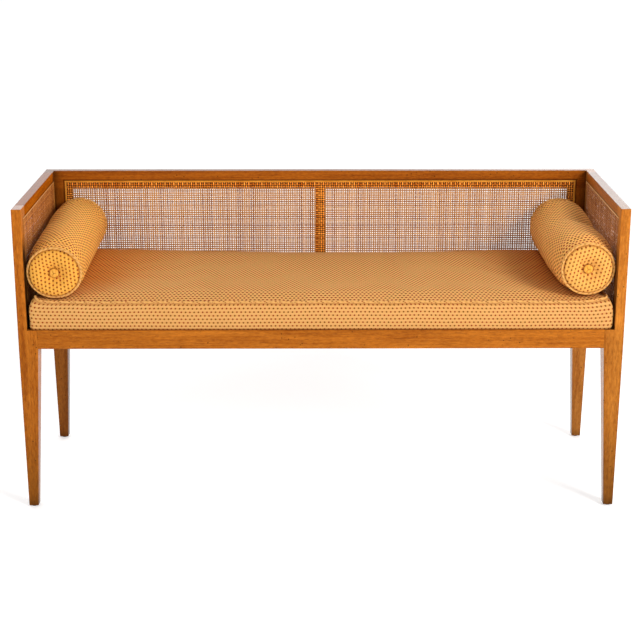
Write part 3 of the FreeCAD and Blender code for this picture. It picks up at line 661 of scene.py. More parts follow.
def reedMaterial(name, look):
    # the strips of one spline lie in all directions, so the fibres are drawn out both ways
    material, place = startMaterial(name)
    x, y, z = place.parts()
    fibres = place.vector(x * 0.03, y * 0.03, z).noise(900, 2, 0.6)
    mottle = place.noise(22, 3, 0.6)
    flecks = place.noise(420, 2).rise(0.60, 0.70)
    tone = mottle * 0.75 + fibres * 0.25
    color = tone.ramp(look)
    color = color.scaled(1 - flecks * look["fleckShade"])
    if look["paintedTopHighlight"]:
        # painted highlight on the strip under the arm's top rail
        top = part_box("left_arm_cane_spline")[1][2] - look["topWidth"]
        color = color.tinted(z.rise(top - 0.0005, top + 0.0005).blend((1, 1, 1), look["paintedTopHighlight"]))
    roughness = look["roughness"] + mottle * 0.14
    return finishMaterial(material, color, roughness, fibres * 0.5 - flecks * 0.3, look["relief"], **woodLook["gloss"])


# Small hidden finishes. Each pattern gives the mix of two colours, the sheen and the height.
def plyPattern(place):
    x, y, z = place.parts()
    layers = (z * (2 * math.pi / 0.0032)).maths("SINE") * 0.5 + 0.5
    grain = place.vector(x * 0.04, y, z * 0.4).noise(240, 3, 0.6)
    return (layers * 0.35 + grain * 0.65).rise(0.25, 0.75), grain, grain + layers * 0.3


def feltPattern(place):
    hairs = place.noise(1300, 3, 0.7)
    lint = place.noise(110, 2).rise(0.62, 0.72)
    return hairs * 0.6 + lint * 0.25, hairs, hairs


def steelPattern(place):
    bloom = place.noise(260, 3, 0.6)
    return bloom, bloom, bloom


def glidePattern(place):
    scuff = place.noise(500, 3, 0.7)
    return place.parts()[2].rise(0.0022, 0.0) * scuff.rise(0.4, 0.6), scuff, scuff


def twinePattern(place):
    x, y, z = place.parts()
    lay = ((x + z) * 2600 + y * 2100).maths("SINE") * 0.5 + 0.5
    return lay * 0.6 + place.noise(900, 2) * 0.4, lay, lay


# Name, pattern, two colours, roughness and what the sheen adds to it, relief and metal
hiddenLook = {
    "plywood": ("plywood", plyPattern, (0.35, 0.21, 0.095), (0.60, 0.43, 0.24), 0.55, 0.2, 0.0002, 0.0),
    "dust_cloth": ("dust_felt", feltPattern, (0.006, 0.006, 0.007), (0.045, 0.043, 0.042), 0.85, 0.1, 0.0003, 0.0),
    "steel": ("plated_steel", steelPattern, (0.50, 0.49, 0.46), (0.70, 0.68, 0.63), 0.22, 0.25, 0.00005, 1.0),
    "glide": ("dark_glide", glidePattern, (0.022, 0.013, 0.009), (0.10, 0.075, 0.06), 0.35, 0.3, 0.0001, 0.0),
    "twine": ("waxed_twine", twinePattern, (0.34, 0.25, 0.14), (0.66, 0.55, 0.37), 0.75, 0.1, 0.0003, 0.0),
}


def hiddenMaterial(name, pattern, first, second, roughness, sheen, relief, metal):
    material, place = startMaterial(name)
    mix, gloss, height = pattern(place)
    return finishMaterial(material, mix.blend(first, second), gloss * sheen + roughness, height, relief, Metallic=metal)


pipingLook = dict(fabricLook, ground=(0.68, 0.315, 0.068), pale=(0.79, 0.425, 0.140), dotDepth=0.75)
bolsterPipingLook = dict(pipingLook, ground=(0.70, 0.310, 0.052), dotDepth=0.42)
# painted light: each bolster has its own copy of the cloth, set to how the lamps fall on it, and its body is painted
# paler and bluer than its ends
paintedLightBolsterLook = {
    "left": dict(fabricLook, ground=(0.74, 0.304, 0.032), pale=(0.85, 0.415, 0.072), boldTint=(1.18, 1.26, 1.62)),
    "right": dict(fabricLook, ground=(0.72, 0.310, 0.050), pale=(0.84, 0.428, 0.108), boldTint=(1.22, 1.27, 1.40)),
}
fabric = fabricMaterial("dotted_cloth", fabricLook)
piping = fabricMaterial("piping_cloth", pipingLook)
bolsterPiping = fabricMaterial("bolster_piping_cloth", bolsterPipingLook)
bolsterFabric = {side: fabricMaterial(f"{side}_bolster_cloth", look) for side, look in paintedLightBolsterLook.items()}
buttonFabric = fabricMaterial("button_cloth", dict(paintedLightBolsterLook["left"], dotDepth=0.30))
slotFinish = {slotName: hiddenMaterial(*look) for slotName, look in hiddenLook.items()}
slotFinish["reed"] = reedMaterial("reed_spline", reedLook)
caneFinish = {
    "back_cane": caneMaterial("woven_cane", caneLook),
    "left_arm_cane": caneMaterial("left_woven_cane_painted_shade", leftShadedCaneLook),
    "right_arm_cane": caneMaterial("right_woven_cane_painted_shade_and_glints", rightShadedCaneLook),
}
nodeFinish = {
    **caneFinish,
    "left_arm_cane_spline": reedMaterial("left_reed_spline_painted_highlight", leftReedLook),
    "right_arm_cane_spline": reedMaterial("right_reed_spline_painted_highlight", rightReedLook),
}
slotOf = {entry["node"]: entry["material_slot"] for entry in frame["record"]["subparts"]}
for number, (node, piece) in enumerate(sorted(nodes.items())):
    slotName = slotOf[node]
    if slotName in ("wood_frame", "inner_wood", "dowel"):
        look = woodLook if slotName == "wood_frame" else bareLook
        finish = woodMaterial(f"wood_{node}", node, number, look)
    else:
        finish = nodeFinish.get(node) or slotFinish.get(slotName, fabric)
    piece.data.materials.clear()
    piece.data.materials.append(finish)
print("materials made:", len(bpy.data.materials))


# Cane panels: upright and level strands that pass over and under each other
def strandField(spots, crossings, ends, parity, draws):
    # spots: where the strands lie; crossings: where they cross the others. A strand goes over and under by turns,
    # level at each crossing, and dives into the groove at both ends
    size = weaveSize
    each = (len(spots), 1)
    along = (crossings[:, None] + size["pitch"] * np.array([-size["level"], size["level"]])).ravel()
    along = np.concatenate([[ends[0], ends[0] + size["lipRun"]], along, [ends[1] - size["lipRun"], ends[1]]])
    turns = (np.arange(len(spots))[:, None] + np.arange(len(crossings)) + parity) % 2 * 2 - 1
    swing = np.repeat(turns, 2, axis=1) * size["swing"]
    flat, deep = np.zeros(each), np.full(each, size["lipDepth"])
    depth = np.concatenate([deep, flat, swing, flat, deep], axis=1)
    phase = draws.uniform(0, 2 * math.pi, each)
    wave = np.sin(along[None, :] * draws.uniform(*size["waves"], each) + phase)
    sideways = spots[:, None] + (draws.normal(0, size["wander"], each) + wave * size["wander"])
    width = size["strandWidth"] * draws.uniform(*size["widths"], each)
    tone = np.clip(draws.normal(0.5, size["toneSpread"], each) + wave * size["toneWave"], 0, 1)
    return np.broadcast_to(along, sideways.shape), sideways, depth, width, tone


def strandMesh(field):
    # a flat back and a raised skin, as four corners carried along each strand, closed at both ends
    along, sideways, depth, width, tone = field
    section = np.array(weaveSize["section"])
    across = sideways[:, :, None] + width[:, :, None] * section[:, 0]
    deep = depth[:, :, None] + weaveSize["strandThickness"] / 2 * section[:, 1]
    points = np.stack([np.broadcast_to(along[:, :, None], across.shape), across, deep], -1)
    ids = gridIds(points)
    ring = np.concatenate([ids, ids[:, :, :1]], axis=2)
    sides = [ring[:, :-1, :-1], ring[:, 1:, :-1], ring[:, 1:, 1:], ring[:, :-1, 1:]]
    caps = np.concatenate([ids[:, 0, :], ids[:, -1, ::-1]])
    marks = {
        "tone": np.broadcast_to(tone[:, :, None], across.shape).ravel(),
        "flank": (np.array([1.0, 0, 0, 1.0]) + 0.5 * (depth > 0)[:, :, None]).ravel(),
    }
    return points.reshape(-1, 3), [np.stack(sides, -1).reshape(-1, 4), caps], marks


def weavePanel(node, seed):
    # panelOf gives the axis across the panel and the direction from its open side into its groove
    panel, axis, inwards = panelOf(node)
    low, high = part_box(node)
    run = 1 - axis
    pitch = weaveSize["pitch"]
    face = low[axis] if inwards > 0 else high[axis]
    middle = face + inwards * (weaveSize["sheetThickness"] / 2 - weaveSize["proud"])
    draws = np.random.default_rng(seed)
    spans = [(low[run], high[run]), (low[2], high[2])]
    counts = [int((end - start - weaveSize["margin"]) / pitch) for start, end in spans]
    centres = [(start + end) / 2 for start, end in spans]
    lines = [mid + pitch * (np.arange(count) - (count - 1) / 2) for mid, count in zip(centres, counts)]
    made = {
        "uprights": strandField(lines[0], lines[1], spans[1], 0, draws),
        "levels": strandField(lines[1], lines[0], spans[0], 1, draws),
    }
    for name, field in made.items():
        local, faceSets, marks = strandMesh(field)
        upright = name == "uprights"
        points = np.empty_like(local)
        points[:, axis] = middle + inwards * local[:, 2]
        points[:, run] = local[:, 1 if upright else 0]
        points[:, 2] = local[:, 0 if upright else 1]
        replaced = (node,) if upright else ()
        closedPiece(f"{node}_{name}", points, faceSets, caneFinish[node], "bench", replaced, None, marks)


for node, seed in (("back_cane", 11), ("left_arm_cane", 12), ("right_arm_cane", 13)):
    weavePanel(node, seed)
print("cane woven")


# Padding: air pressure in a cloth simulation fills each cover from a slightly smaller shape
paddingFrames = 20
paddingSize = {
    "quality": 5,
    "mass": 0.3,
    "tension_stiffness": 12.0,
    "compression_stiffness": 12.0,
    "shear_stiffness": 6.0,
    "bending_stiffness": 0.4,
    "use_pressure": True,
    "uniform_pressure_force": 4.0,
}


def inflate(points, faceSets, pinned, slack, cap):
    # returns the filled points; a point moves by at most cap, and pinned points stay
    mesh = putMesh("filling", points, faceSets)
    trial = bpy.data.objects.new("filling", mesh)
    scene.collection.objects.link(trial)
    trial.vertex_groups.new(name="sewn").add(np.flatnonzero(pinned).tolist(), 1.0, "REPLACE")
    cloth = trial.modifiers.new("filling", "CLOTH")
    cloth.collision_settings.use_collision = False
    cloth.point_cache.frame_start = 1
    cloth.point_cache.frame_end = paddingFrames
    for name, value in {**paddingSize, "shrink_min": -slack, "vertex_group_mass": "sewn"}.items():
        setattr(cloth.settings, name, value)
    cloth.settings.effector_weights.gravity = 0
    for number in range(1, paddingFrames + 1):
        scene.frame_set(number)
    filled = trial.evaluated_get(bpy.context.evaluated_depsgraph_get())
    found = np.empty(len(points) * 3, np.float32)
    filled.data.vertices.foreach_get("co", found)
    move = found.reshape(-1, 3).astype(float) - points
    bpy.data.objects.remove(trial)
    bpy.data.meshes.remove(mesh)
    scene.frame_set(1)
    length = np.linalg.norm(move, axis=1)[:, None]
    return points + move * np.where(length > 1e-9, cap * np.tanh(length / cap) / np.maximum(length, 1e-9), 0)


def addSmoothing(piece):
    smoothing = piece.modifiers.new("smoothing", "SUBSURF")
    smoothing.levels = smoothing.render_levels = 1


# Bolster form, which the seat also yields to. A shift or sway is across and up; a fold is in metres and degrees.
bolsterSize = {
    "seamRadius": {"left": 0.0601, "right": 0.0582},
    "backSeamRadius": {"left": 0.0620, "right": 0.0652},
    "belly": {"left": 0.0015, "right": 0.0070},
    "sway": {"left": (-0.0042, 0.0026), "right": (0.0, 0.0010)},
    "frontShift": {"left": (-0.0031, -0.0020), "right": (0.0036, 0.0058)},
    "backShift": {"left": (-0.0018, 0.0043), "right": (-0.0026, -0.0004)},
    "flatten": {"left": 0.052, "right": 0.0},
    "flattenReach": 0.09,
    "shoulder": 0.056,
    "shoulderPower": 2.4,
    "endInset": 0.0061,
    "endTilt": 0.0595,
    "armGap": 0.0006,
    "armSoftness": 0.0012,
    "around": 120,
    "along": 60,
    "endRings": 26,
    "seed": {"left": 21, "right": 22},
    "slack": 0.0010,
    "slackKnots": 7,
    "calmReach": 0.03,
    "swell": 0.0020,
    "coverSlack": 0.012,
    "folds": {
        "left": {"from": -0.02, "steep": 0.05, "fade": 0.08, "turned": 150, "wide": 35, "deep": 0.0016, "slant": 0},
        "right": {
            "from": -0.085, "steep": 0.034, "fade": 0.20, "turned": 46, "wide": 46, "deep": 0.0160, "slant": 0.0011,
        },
    },
    # painted shade in the fold
    "foldShade": 0.45,
    "foldFull": 0.016,
    "endHeight": 0.0045,
    "endCrown": 0.0070,
    "endLeast": 0.0012,
    "dimple": 0.0095,
    "lumps": 0.0006,
    "puckers": 9,
    "puckerDepth": 0.0013,
    "puckerReach": (0.004, 0.011),
    "buttonRadius": 0.0102,
    "hubShare": 0.55,
    "bodyBold": 2.0,
    "girthDots": 44,
    "clothTurn": {"left": -4, "right": 14},
    "weltRadius": 0.0029,
    "weltAhead": 0.0022,
    "weltProud": 0.0002,
    "weltCorners": 10,
    "fill": 0.9,
}


def bolsterAxis(side):
    # the axis from the CAD twine, which runs through the middle of the pad from button to button
    twine = nodes[f"{side}_bolster_twine"].data.vertices
    points = np.empty(len(twine) * 3, np.float32)
    twine.foreach_get("co", points)
    points = points.reshape(-1, 3).astype(float)
    front = points[points[:, 1] < points[:, 1].mean()].mean(0)
    back = points[points[:, 1] > points[:, 1].mean()].mean(0)
    direction = unit(back - front)
    low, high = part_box(f"{side}_bolster_pad")
    middle = np.array([(low[axis] + high[axis]) / 2 for axis in range(3)])
    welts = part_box(f"{side}_bolster_welts")
    reach = (welts[1][1] - welts[0][1]) / 2 - bolsterSize["endInset"]
    half = reach / direction[1] - bolsterSize["endTilt"] * direction[2]
    return middle, direction, (high[0] - low[0]) / 2, half


def bolsterRadius(side, along, radius, half):
    # fullest in the middle, drawn in over the shoulder to the seam
    t = np.clip((np.abs(along) - (half - bolsterSize["shoulder"])) / bolsterSize["shoulder"], 0, 1)
    full = radius + bolsterSize["belly"][side] * (1 - np.clip(-along / half, 0, 1) ** 3)
    seam = np.where(along < 0, bolsterSize["seamRadius"][side], bolsterSize["backSeamRadius"][side])
    return full - (full - seam) * t ** bolsterSize["shoulderPower"]


def bolsterLine(side, along, half):
    # how far the middle of each ring lies off the axis, across and up
    sag = 1 - np.clip(np.abs(along) / half, 0, 1) ** 2
    front, back = smoothRise(-along, -0.02, half), smoothRise(along, 0.0, half)
    sway, *shifts = (bolsterSize[name][side] for name in ("sway", "frontShift", "backShift"))
    return [sway[axis] * sag + shifts[0][axis] * front + shifts[1][axis] * back for axis in (0, 1)]


# Seat cushion. An ear is its height and reach, by the side of the bench.
cushionSize = {
    "stepAlong": 132,
    "stepDeep": 50,
    "cornerRadius": 0.012,
    "seamHeight": 0.0628,
    "seamWander": 0.0005,
    "seamInset": 0.0035,
    "endLean": 0.0105,
    "endReach": 0.0024,
    "frontLean": 0.0032,
    "leanShare": 0.36,
    "hem": 0.0042,
    "hemHeight": 0.010,
    "endHem": 0.6,
    "bulge": 0.0020,
    "cornerLift": 0.0038,
    "cornerReach": 0.085,
    "ears": {-1: (0.0075, 0.011), 1: (0.0046, 0.030)},
    "earBack": 0.010,
    "frontRise": 0.0083,
    "slope": 0.0370,
    "slopeRun": (0.034, 0.300),
    "backLift": 0.0080,
    "leftLift": 0.0020,
    "middleSwell": 0.0048,
    "frontRound": 0.040,
    "backRound": 0.050,
    "endRound": 0.034,
    "boxingRows": 16,
    "swell": 0.0025,
    "slack": 0.004,
    "nestGap": 0.0007,
    "nestSoftness": 0.0016,
    "nestDepth": 0.02,
    "topBold": 1.5,
    # painted shade along the seam and beside the bolsters, and the right bolster's painted shadow on the seat
    "seamShade": 0.0042,
    "bolsterShadeReach": {"left": 0.132, "right": 0.102},
    "bolsterShadeSpread": 3.4,
    "rightBolsterShadow": 0.32,
    "fill": 0.8,
}
cushionLow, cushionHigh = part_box("seat_cushion")
seamX = cushionHigh[0] - cushionSize["endLean"] - cushionSize["seamInset"]
seamFront = cushionLow[1] + cushionSize["frontLean"] + cushionSize["seamInset"]
seamBack = cushionHigh[1] - cushionSize["frontLean"] - cushionSize["seamInset"]
seamMiddle, seamHalf = (seamFront + seamBack) / 2, (seamBack - seamFront) / 2


def edgeSpread(count):
    # -1 to 1, closer together towards both ends
    t = np.linspace(-1, 1, count)
    return 0.55 * t + 0.45 * np.sin(t * math.pi / 2)


def roundCorners(x, y, halfX, halfY, radius):
    # pulls the corner squares of a rectangle in to quarter discs: the larger offset becomes the radius
    overX = np.abs(x) - (halfX - radius)
    overY = np.abs(y) - (halfY - radius)
    inside = (overX > 0) & (overY > 0)
    longest = np.hypot(overX, overY)
    scale = np.where(inside, np.maximum(overX, overY) / np.where(longest > 0, longest, 1), 1)
    newX = np.where(inside, np.sign(x) * (halfX - radius + overX * scale), x)
    newY = np.where(inside, np.sign(y) * (halfY - radius + overY * scale), y)
    return newX, newY


def seatTop(x, y):
    # a slope towards the back, rounded down to the seam on all sides, swelling between the bolsters
    size = cushionSize
    rise = size["frontRise"] + size["slope"] * np.clip(y - seamFront - size["slopeRun"][0], 0, size["slopeRun"][1])
    swell = size["middleSwell"] * smoothRise(np.abs(x), 0.60, 0.46)
    worn = size["backLift"] * (np.abs(x) / 0.47) ** 1.6 + size["leftLift"] * smoothRise(x, 0.1, -0.15)
    swell = swell + worn * smoothRise(y, seamFront + 0.10, seamBack - 0.06)
    rise = rise + swell - size["swell"]
    start = smoothRise(0.0, -0.6, 1.0) * 2 - 1
    edges = ((seamX - np.abs(x), "endRound"), (y - seamFront, "frontRound"), (seamBack - y, "backRound"))
    for away, name in edges:
        edge = smoothRise(away, -size[name] * 0.6, size[name]) * 2 - 1
        rise = rise * np.clip((edge - start) / (1 - start), 0, 1)
    return cushionLow[2] + size["seamHeight"] + rise


def cornerLift(x, y):
    # the seam climbs towards both ends, wanders a little, and stands up in an ear at both front corners
    size = cushionSize
    ends = np.clip((np.abs(x) - (seamX - size["cornerReach"])) / size["cornerReach"], 0, 1)
    lift = size["cornerLift"] * ends ** 2 + size["seamWander"] * (np.sin(31 * x + 0.7) + 0.6 * np.sin(57 * x + 2.1))
    for side, (height, reach) in size["ears"].items():
        lift = lift + height * np.exp(-((x - side * seamX) ** 2 + (y - seamFront - size["earBack"]) ** 2) / reach ** 2)
    return lift


def nestUnder(x, y, z):
    # a soft minimum with the underside of each bolster
    size = cushionSize
    soft = size["nestSoftness"]
    for side in ("left", "right"):
        middle, direction, radius, half = bolsterAxis(side)
        along = (y - middle[1]) / direction[1]
        reach = bolsterRadius(side, along, radius, half) + size["nestGap"]
        aside, raised = bolsterLine(side, along, half)
        offset = np.clip(np.abs(x - middle[0] - aside), 0, reach * 0.98)
        under = middle[2] + raised + along * direction[2] - np.sqrt(reach ** 2 - offset ** 2)
        pressed = z - soft * np.logaddexp(0, (z - under) / soft)
        pressed = np.minimum(z, np.maximum(pressed, z - size["nestDepth"]))
        z = np.where(np.abs(along) < half + 0.012, pressed, z)
    return z


def seatBoxing(edge, steps):
    # the boxing hangs from the seam: it leans out, bulges a little, and its hem turns in
    size = cushionSize
    lean = 1 - (1 - np.clip(steps / size["leanShare"], 0, 1)) ** 2
    swell = np.sin(np.clip(steps, 0, 1) * math.pi) * size["bulge"] * 0.3
    tuck = size["hem"] * np.clip(1 - (1 - steps) * size["seamHeight"] / size["hemHeight"], 0, 1) ** 2
    outX = size["seamInset"] + (size["endLean"] + size["endReach"]) * lean + swell - tuck * size["endHem"]
    outY = size["seamInset"] + size["frontLean"] * lean + swell - tuck
    outerX = cushionHigh[0] + size["endReach"] - 0.0005
    bandX = np.clip(edge[None, :, 0] * (1 + outX[:, None] / seamX), -outerX, outerX)
    bandY = (edge[None, :, 1] - seamMiddle) * (1 + outY[:, None] / seamHalf) + seamMiddle
    bandY = np.clip(bandY, cushionLow[1] - 0.0008, cushionHigh[1])
    bandZ = edge[None, :, 2] + (cushionLow[2] - edge[None, :, 2]) * steps[:, None]
    return np.stack([bandX, bandY, bandZ], -1)


def seatBottom(top, hem):
    # the outline of the top, stretched to the hem and laid flat
    low, high = hem[:, 1].min(), hem[:, 1].max()
    under = top.copy()
    under[:, 0] *= np.abs(hem[:, 0]).max() / seamX
    under[:, 1] = (under[:, 1] - seamMiddle) * ((high - low) / 2 / seamHalf) + (high + low) / 2
    under[:, 2] = cushionLow[2]
    return under


def paintedBolsterShade(top, side, sign):
    # painted bolster shade: 1 beside a bolster, fading towards the middle of the seat and towards its front
    size = cushionSize
    middle, direction, radius, half = bolsterAxis(side)
    away = np.maximum(abs(middle[0]) - radius - top[:, 0] * sign, 0)
    reach = size["bolsterShadeReach"][side] * (1 + size["bolsterShadeSpread"] * top[:, 1])
    return hump(away, reach) * smoothRise(top[:, 1], seamFront - 0.02, seamFront + 0.18)


def buildCushion():
    # a top grid, a boxing hung from its rim, and a bottom grid whose rim is the hem; returns the seam
    size = cushionSize
    spreads = edgeSpread(size["stepAlong"]) * seamX, edgeSpread(size["stepDeep"]) * seamHalf
    flatX, flatY = np.meshgrid(*spreads, indexing="ij")
    topX, topY = roundCorners(flatX, flatY, seamX, seamHalf, size["cornerRadius"])
    topY = topY + seamMiddle
    topZ = nestUnder(topX, topY, seatTop(topX, topY) + cornerLift(topX, topY))
    table = np.stack([topX, topY, topZ], -1)
    top = table.reshape(-1, 3)
    ids = gridIds(table)
    loop = np.concatenate([ids[:, 0], ids[-1, 1:], ids[-2::-1, -1], ids[0, -2:0:-1]])
    edge = top[loop]
    steps = np.linspace(0, 1, size["boxingRows"] + 1)[1:]
    steps = steps - 0.10 * np.sin(2 * math.pi * steps)
    band = seatBoxing(edge, steps)
    under = seatBottom(top, band[-1])
    bandIds = gridIds(band, len(top))
    hoop = closeRows(np.concatenate([loop[None], bandIds]))
    rim = np.full(len(top), -1)
    rim[loop] = bandIds[-1]
    underIds = np.where(rim[ids] >= 0, rim[ids], ids + len(top) + bandIds.size)
    points = np.concatenate([top, band.reshape(-1, 3), under])
    faceSets = [gridQuads(ids), gridQuads(hoop)[:, ::-1], gridQuads(underIds)[:, ::-1]]
    # the top's cloth lies flat, and the boxing's runs round from the first corner
    topCloth = np.stack([topX, topY], -1)
    down = np.concatenate([[0], steps]) * size["seamHeight"]
    bandCloth = np.stack(np.broadcast_arrays(runLength(edge[:, :2])[None, :] - seamX, -down[:, None]), -1)
    maps = [gridCloth(topCloth), gridCloth(bandCloth)[:, ::-1], gridCloth(topCloth)[:, ::-1]]
    # painted shade: the cloth is darker along the seam and down the boxing to its hem, beside both bolsters, and in the
    # right bolster's shadow
    shy = np.minimum(seamX - np.abs(flatX), seamHalf - np.abs(flatY)).ravel()
    bandShade = 0.09 + 0.12 * steps + 0.4 * smoothRise(steps, 0.965, 1.0)
    bandShade = np.maximum(0.6 * hump(steps * size["seamHeight"], size["seamShade"]), bandShade)
    kept = {side: paintedBolsterShade(top, side, sign) for side, sign in (("left", -1), ("right", 1))}
    topShade = 0.5 * hump(shy, 0.0040) + kept["right"] * size["rightBolsterShadow"]
    rest = np.zeros(band[..., 0].size + len(under))
    marks = {
        "crease": np.concatenate([topShade, np.repeat(bandShade, len(loop)), np.zeros(len(under))]),
        "bold": np.concatenate([np.full(len(top), size["topBold"]), rest]),
        "kept": np.concatenate([kept["left"] + kept["right"], rest]),
    }
    sewn = [np.isin(ids, loop).ravel(), np.repeat(steps > 0.9, len(loop)), np.ones(len(under), bool)]
    # the bottom's own rim points are not used
    used, where = np.unique(np.concatenate([faces.ravel() for faces in faceSets]), return_inverse=True)
    ends = np.cumsum([faces.size for faces in faceSets])[:-1]
    faceSets = [part.reshape(-1, 4) for part in np.split(where, ends)]
    filled = inflate(points[used], faceSets, np.concatenate(sewn)[used], size["slack"], size["swell"])
    isTop = used < len(top)
    outerX = cushionHigh[0] + size["endReach"]
    filled[isTop, 2] = nestUnder(*filled[isTop].T)
    filled[:, 0] = np.clip(filled[:, 0], -outerX, outerX)
    filled[:, 1] = np.clip(filled[:, 1], cushionLow[1] - 0.0012, cushionHigh[1])
    marks = {mark: values[used] for mark, values in marks.items()}
    replaced = ("seat_cushion",)
    piece = closedPiece("seat_cushion_cover", filled, faceSets, fabric, "bench", replaced, maps, marks)
    addSmoothing(piece)
    return edge


seamLine = buildCushion()
print("seat cushion made")


# Welts: a cord in bias-cut cloth, carried round a closed line
weltSize = {"radius": 0.0028, "corners": 12, "spacing": 0.004, "lift": 0.0014, "outward": 0.0010}


def weltTube(name, path, outward, radius, body, replaced, material, corners):
    # path and outward are n x 3; the ring of corners turns from outward to the path's own up
    forward = unit(np.roll(path, -1, 0) - np.roll(path, 1, 0))
    up = unit(np.cross(outward, forward))
    out = np.cross(forward, up)
    angle = np.linspace(0, 2 * math.pi, corners, endpoint=False)
    ring = np.cos(angle)[None, :, None] * out[:, None] + np.sin(angle)[None, :, None] * up[:, None]
    points = path[:, None] + ring * radius
    ids = gridIds(points)
    closed = closeRows(np.concatenate([ids, ids[:1]]))
    run = runLength(path)[:, None]
    turn = np.linspace(0, 2 * math.pi * radius, corners + 1)
    cloth = np.stack([run + turn, turn - run], -1) * math.sqrt(0.5)
    faceSets, maps = [gridQuads(closed)], [gridCloth(cloth)]
    return closedPiece(name, points.reshape(-1, 3), faceSets, material, body, replaced, maps)


def evenPath(line, spacing):
    # points at even distances along a closed line
    closed = np.concatenate([line, line[:1]])
    run = runLength(line)
    places = np.linspace(0, run[-1], int(run[-1] / spacing), endpoint=False)
    return np.stack([np.interp(places, run, closed[:, axis]) for axis in range(3)], -1)


def buildSeatWelt():
    # the cord lies a little outside and above the seam
    size = weltSize
    path = evenPath(seamLine, size["spacing"])
    forward = np.roll(path, -1, 0) - np.roll(path, 1, 0)
    outward = unit(np.stack([forward[:, 1], -forward[:, 0], np.zeros(len(path))], -1))
    path = path + outward * size["outward"]
    path[:, 2] += size["lift"]
    weltTube("seat_welt_cord", path, outward, size["radius"], "bench", ("seat_welt",), piping, size["corners"])


buildSeatWelt()


# Bolsters
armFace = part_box("right_arm_top_rail")[0][0] - bolsterSize["armGap"]
circleAngle = np.linspace(0, 2 * math.pi, bolsterSize["around"], endpoint=False)
fullTurn = np.concatenate([circleAngle, [2 * math.pi]])


def clearArm(spots):
    # a soft limit at the face of the arm
    soft = bolsterSize["armSoftness"]
    held = armFace - soft * np.logaddexp(0, (armFace - np.abs(spots[..., 0])) / soft)
    kept = spots.copy()
    kept[..., 0] = np.sign(spots[..., 0]) * held
    return kept


def wavy(draws, count, rough):
    # a sum of a few whole waves round the circle
    total = np.zeros_like(circleAngle)
    for wave in range(2, 2 + count):
        height = draws.normal(0, 1)
        total = total + height * np.sin(wave * circleAngle + draws.uniform(0, 2 * math.pi)) / wave ** rough
    return total


def bolsterSink(side, along, half, draws):
    # how far the cover sinks below its full radius: loose waves, and a fold that is steep in front and fades behind
    size = bolsterSize
    count = size["slackKnots"]
    slack = np.stack([wavy(draws, 5, 0.8) for knot in range(count)])
    knots = np.linspace(-half, half, count)
    drape = np.stack([np.interp(along, knots, slack[:, spot]) for spot in range(size["around"])], 1)
    calm = np.clip((half - np.abs(along)) / size["calmReach"], 0, 1)[:, None]
    fold = size["folds"][side]
    apart = np.angle(np.exp(1j * (circleAngle - math.radians(fold["turned"])))) / math.radians(fold["wide"])
    past = along[:, None] - fold["from"] - fold["slant"] * fold["wide"] * np.clip(apart, -1, 1.4)[None, :]
    drop = smoothRise(past, 0, fold["steep"]) * smoothRise(past, fold["steep"] + fold["fade"], fold["steep"] * 0.8)
    sink = np.clip(-drape, 0, 3) * size["slack"] * calm + fold["deep"] * drop * hump(apart, 1)[None, :]
    return sink, calm


def bolsterEnd(way, hubLine, direction, half, seamRadius, circle, draws):
    # a domed disc, puckered towards its button: its points, its hub, its painted shade lines inside the welt and round
    # the button, and the radius of its rings
    size = bolsterSize
    steps = np.linspace(0, 1, size["endRings"] + 1)[1:]
    steps = steps - 0.09 * np.sin(2 * math.pi * steps)
    inner = size["buttonRadius"] * size["hubShare"]
    discRadius = seamRadius + (inner - seamRadius) * steps
    t = (discRadius - inner) / (seamRadius - inner)
    riser = smoothRise(1 - t, 0.0, 0.12)
    dome = size["endHeight"] * riser + size["endCrown"] * np.sin(np.clip(t, 0, 1) * math.pi) ** 0.9 * riser
    height = np.maximum(dome - size["dimple"] * smoothRise(t, 0.60, 0.02), size["endLeast"])
    pucker = np.cos(size["puckers"] * circleAngle + 2.2 * wavy(draws, 4, 1.0)) * (1 + 0.5 * wavy(draws, 6, 0.6))
    start, width = size["puckerReach"]
    reach = hump(discRadius - size["buttonRadius"] - start, width) * smoothRise(1 - t, 0.1, 0.5)
    lumpy = wavy(draws, 6, 0.7)[None, :] * size["lumps"] * np.sin(t * math.pi)[:, None]
    lift = height[:, None] + pucker[None, :] * np.clip(reach, 0, 1)[:, None] * size["puckerDepth"] + lumpy
    disc = hubLine + way * (half + lift)[..., None] * direction + circle * discRadius[:, None, None]
    hub = hubLine + way * (half + lift[-1].mean() - 0.001) * direction
    line = hump(seamRadius - 0.0036 - discRadius, 0.0017) * 0.75
    shade = np.maximum(line, hump(discRadius - size["buttonRadius"], 0.0023))
    return clearArm(disc), hub, shade, discRadius


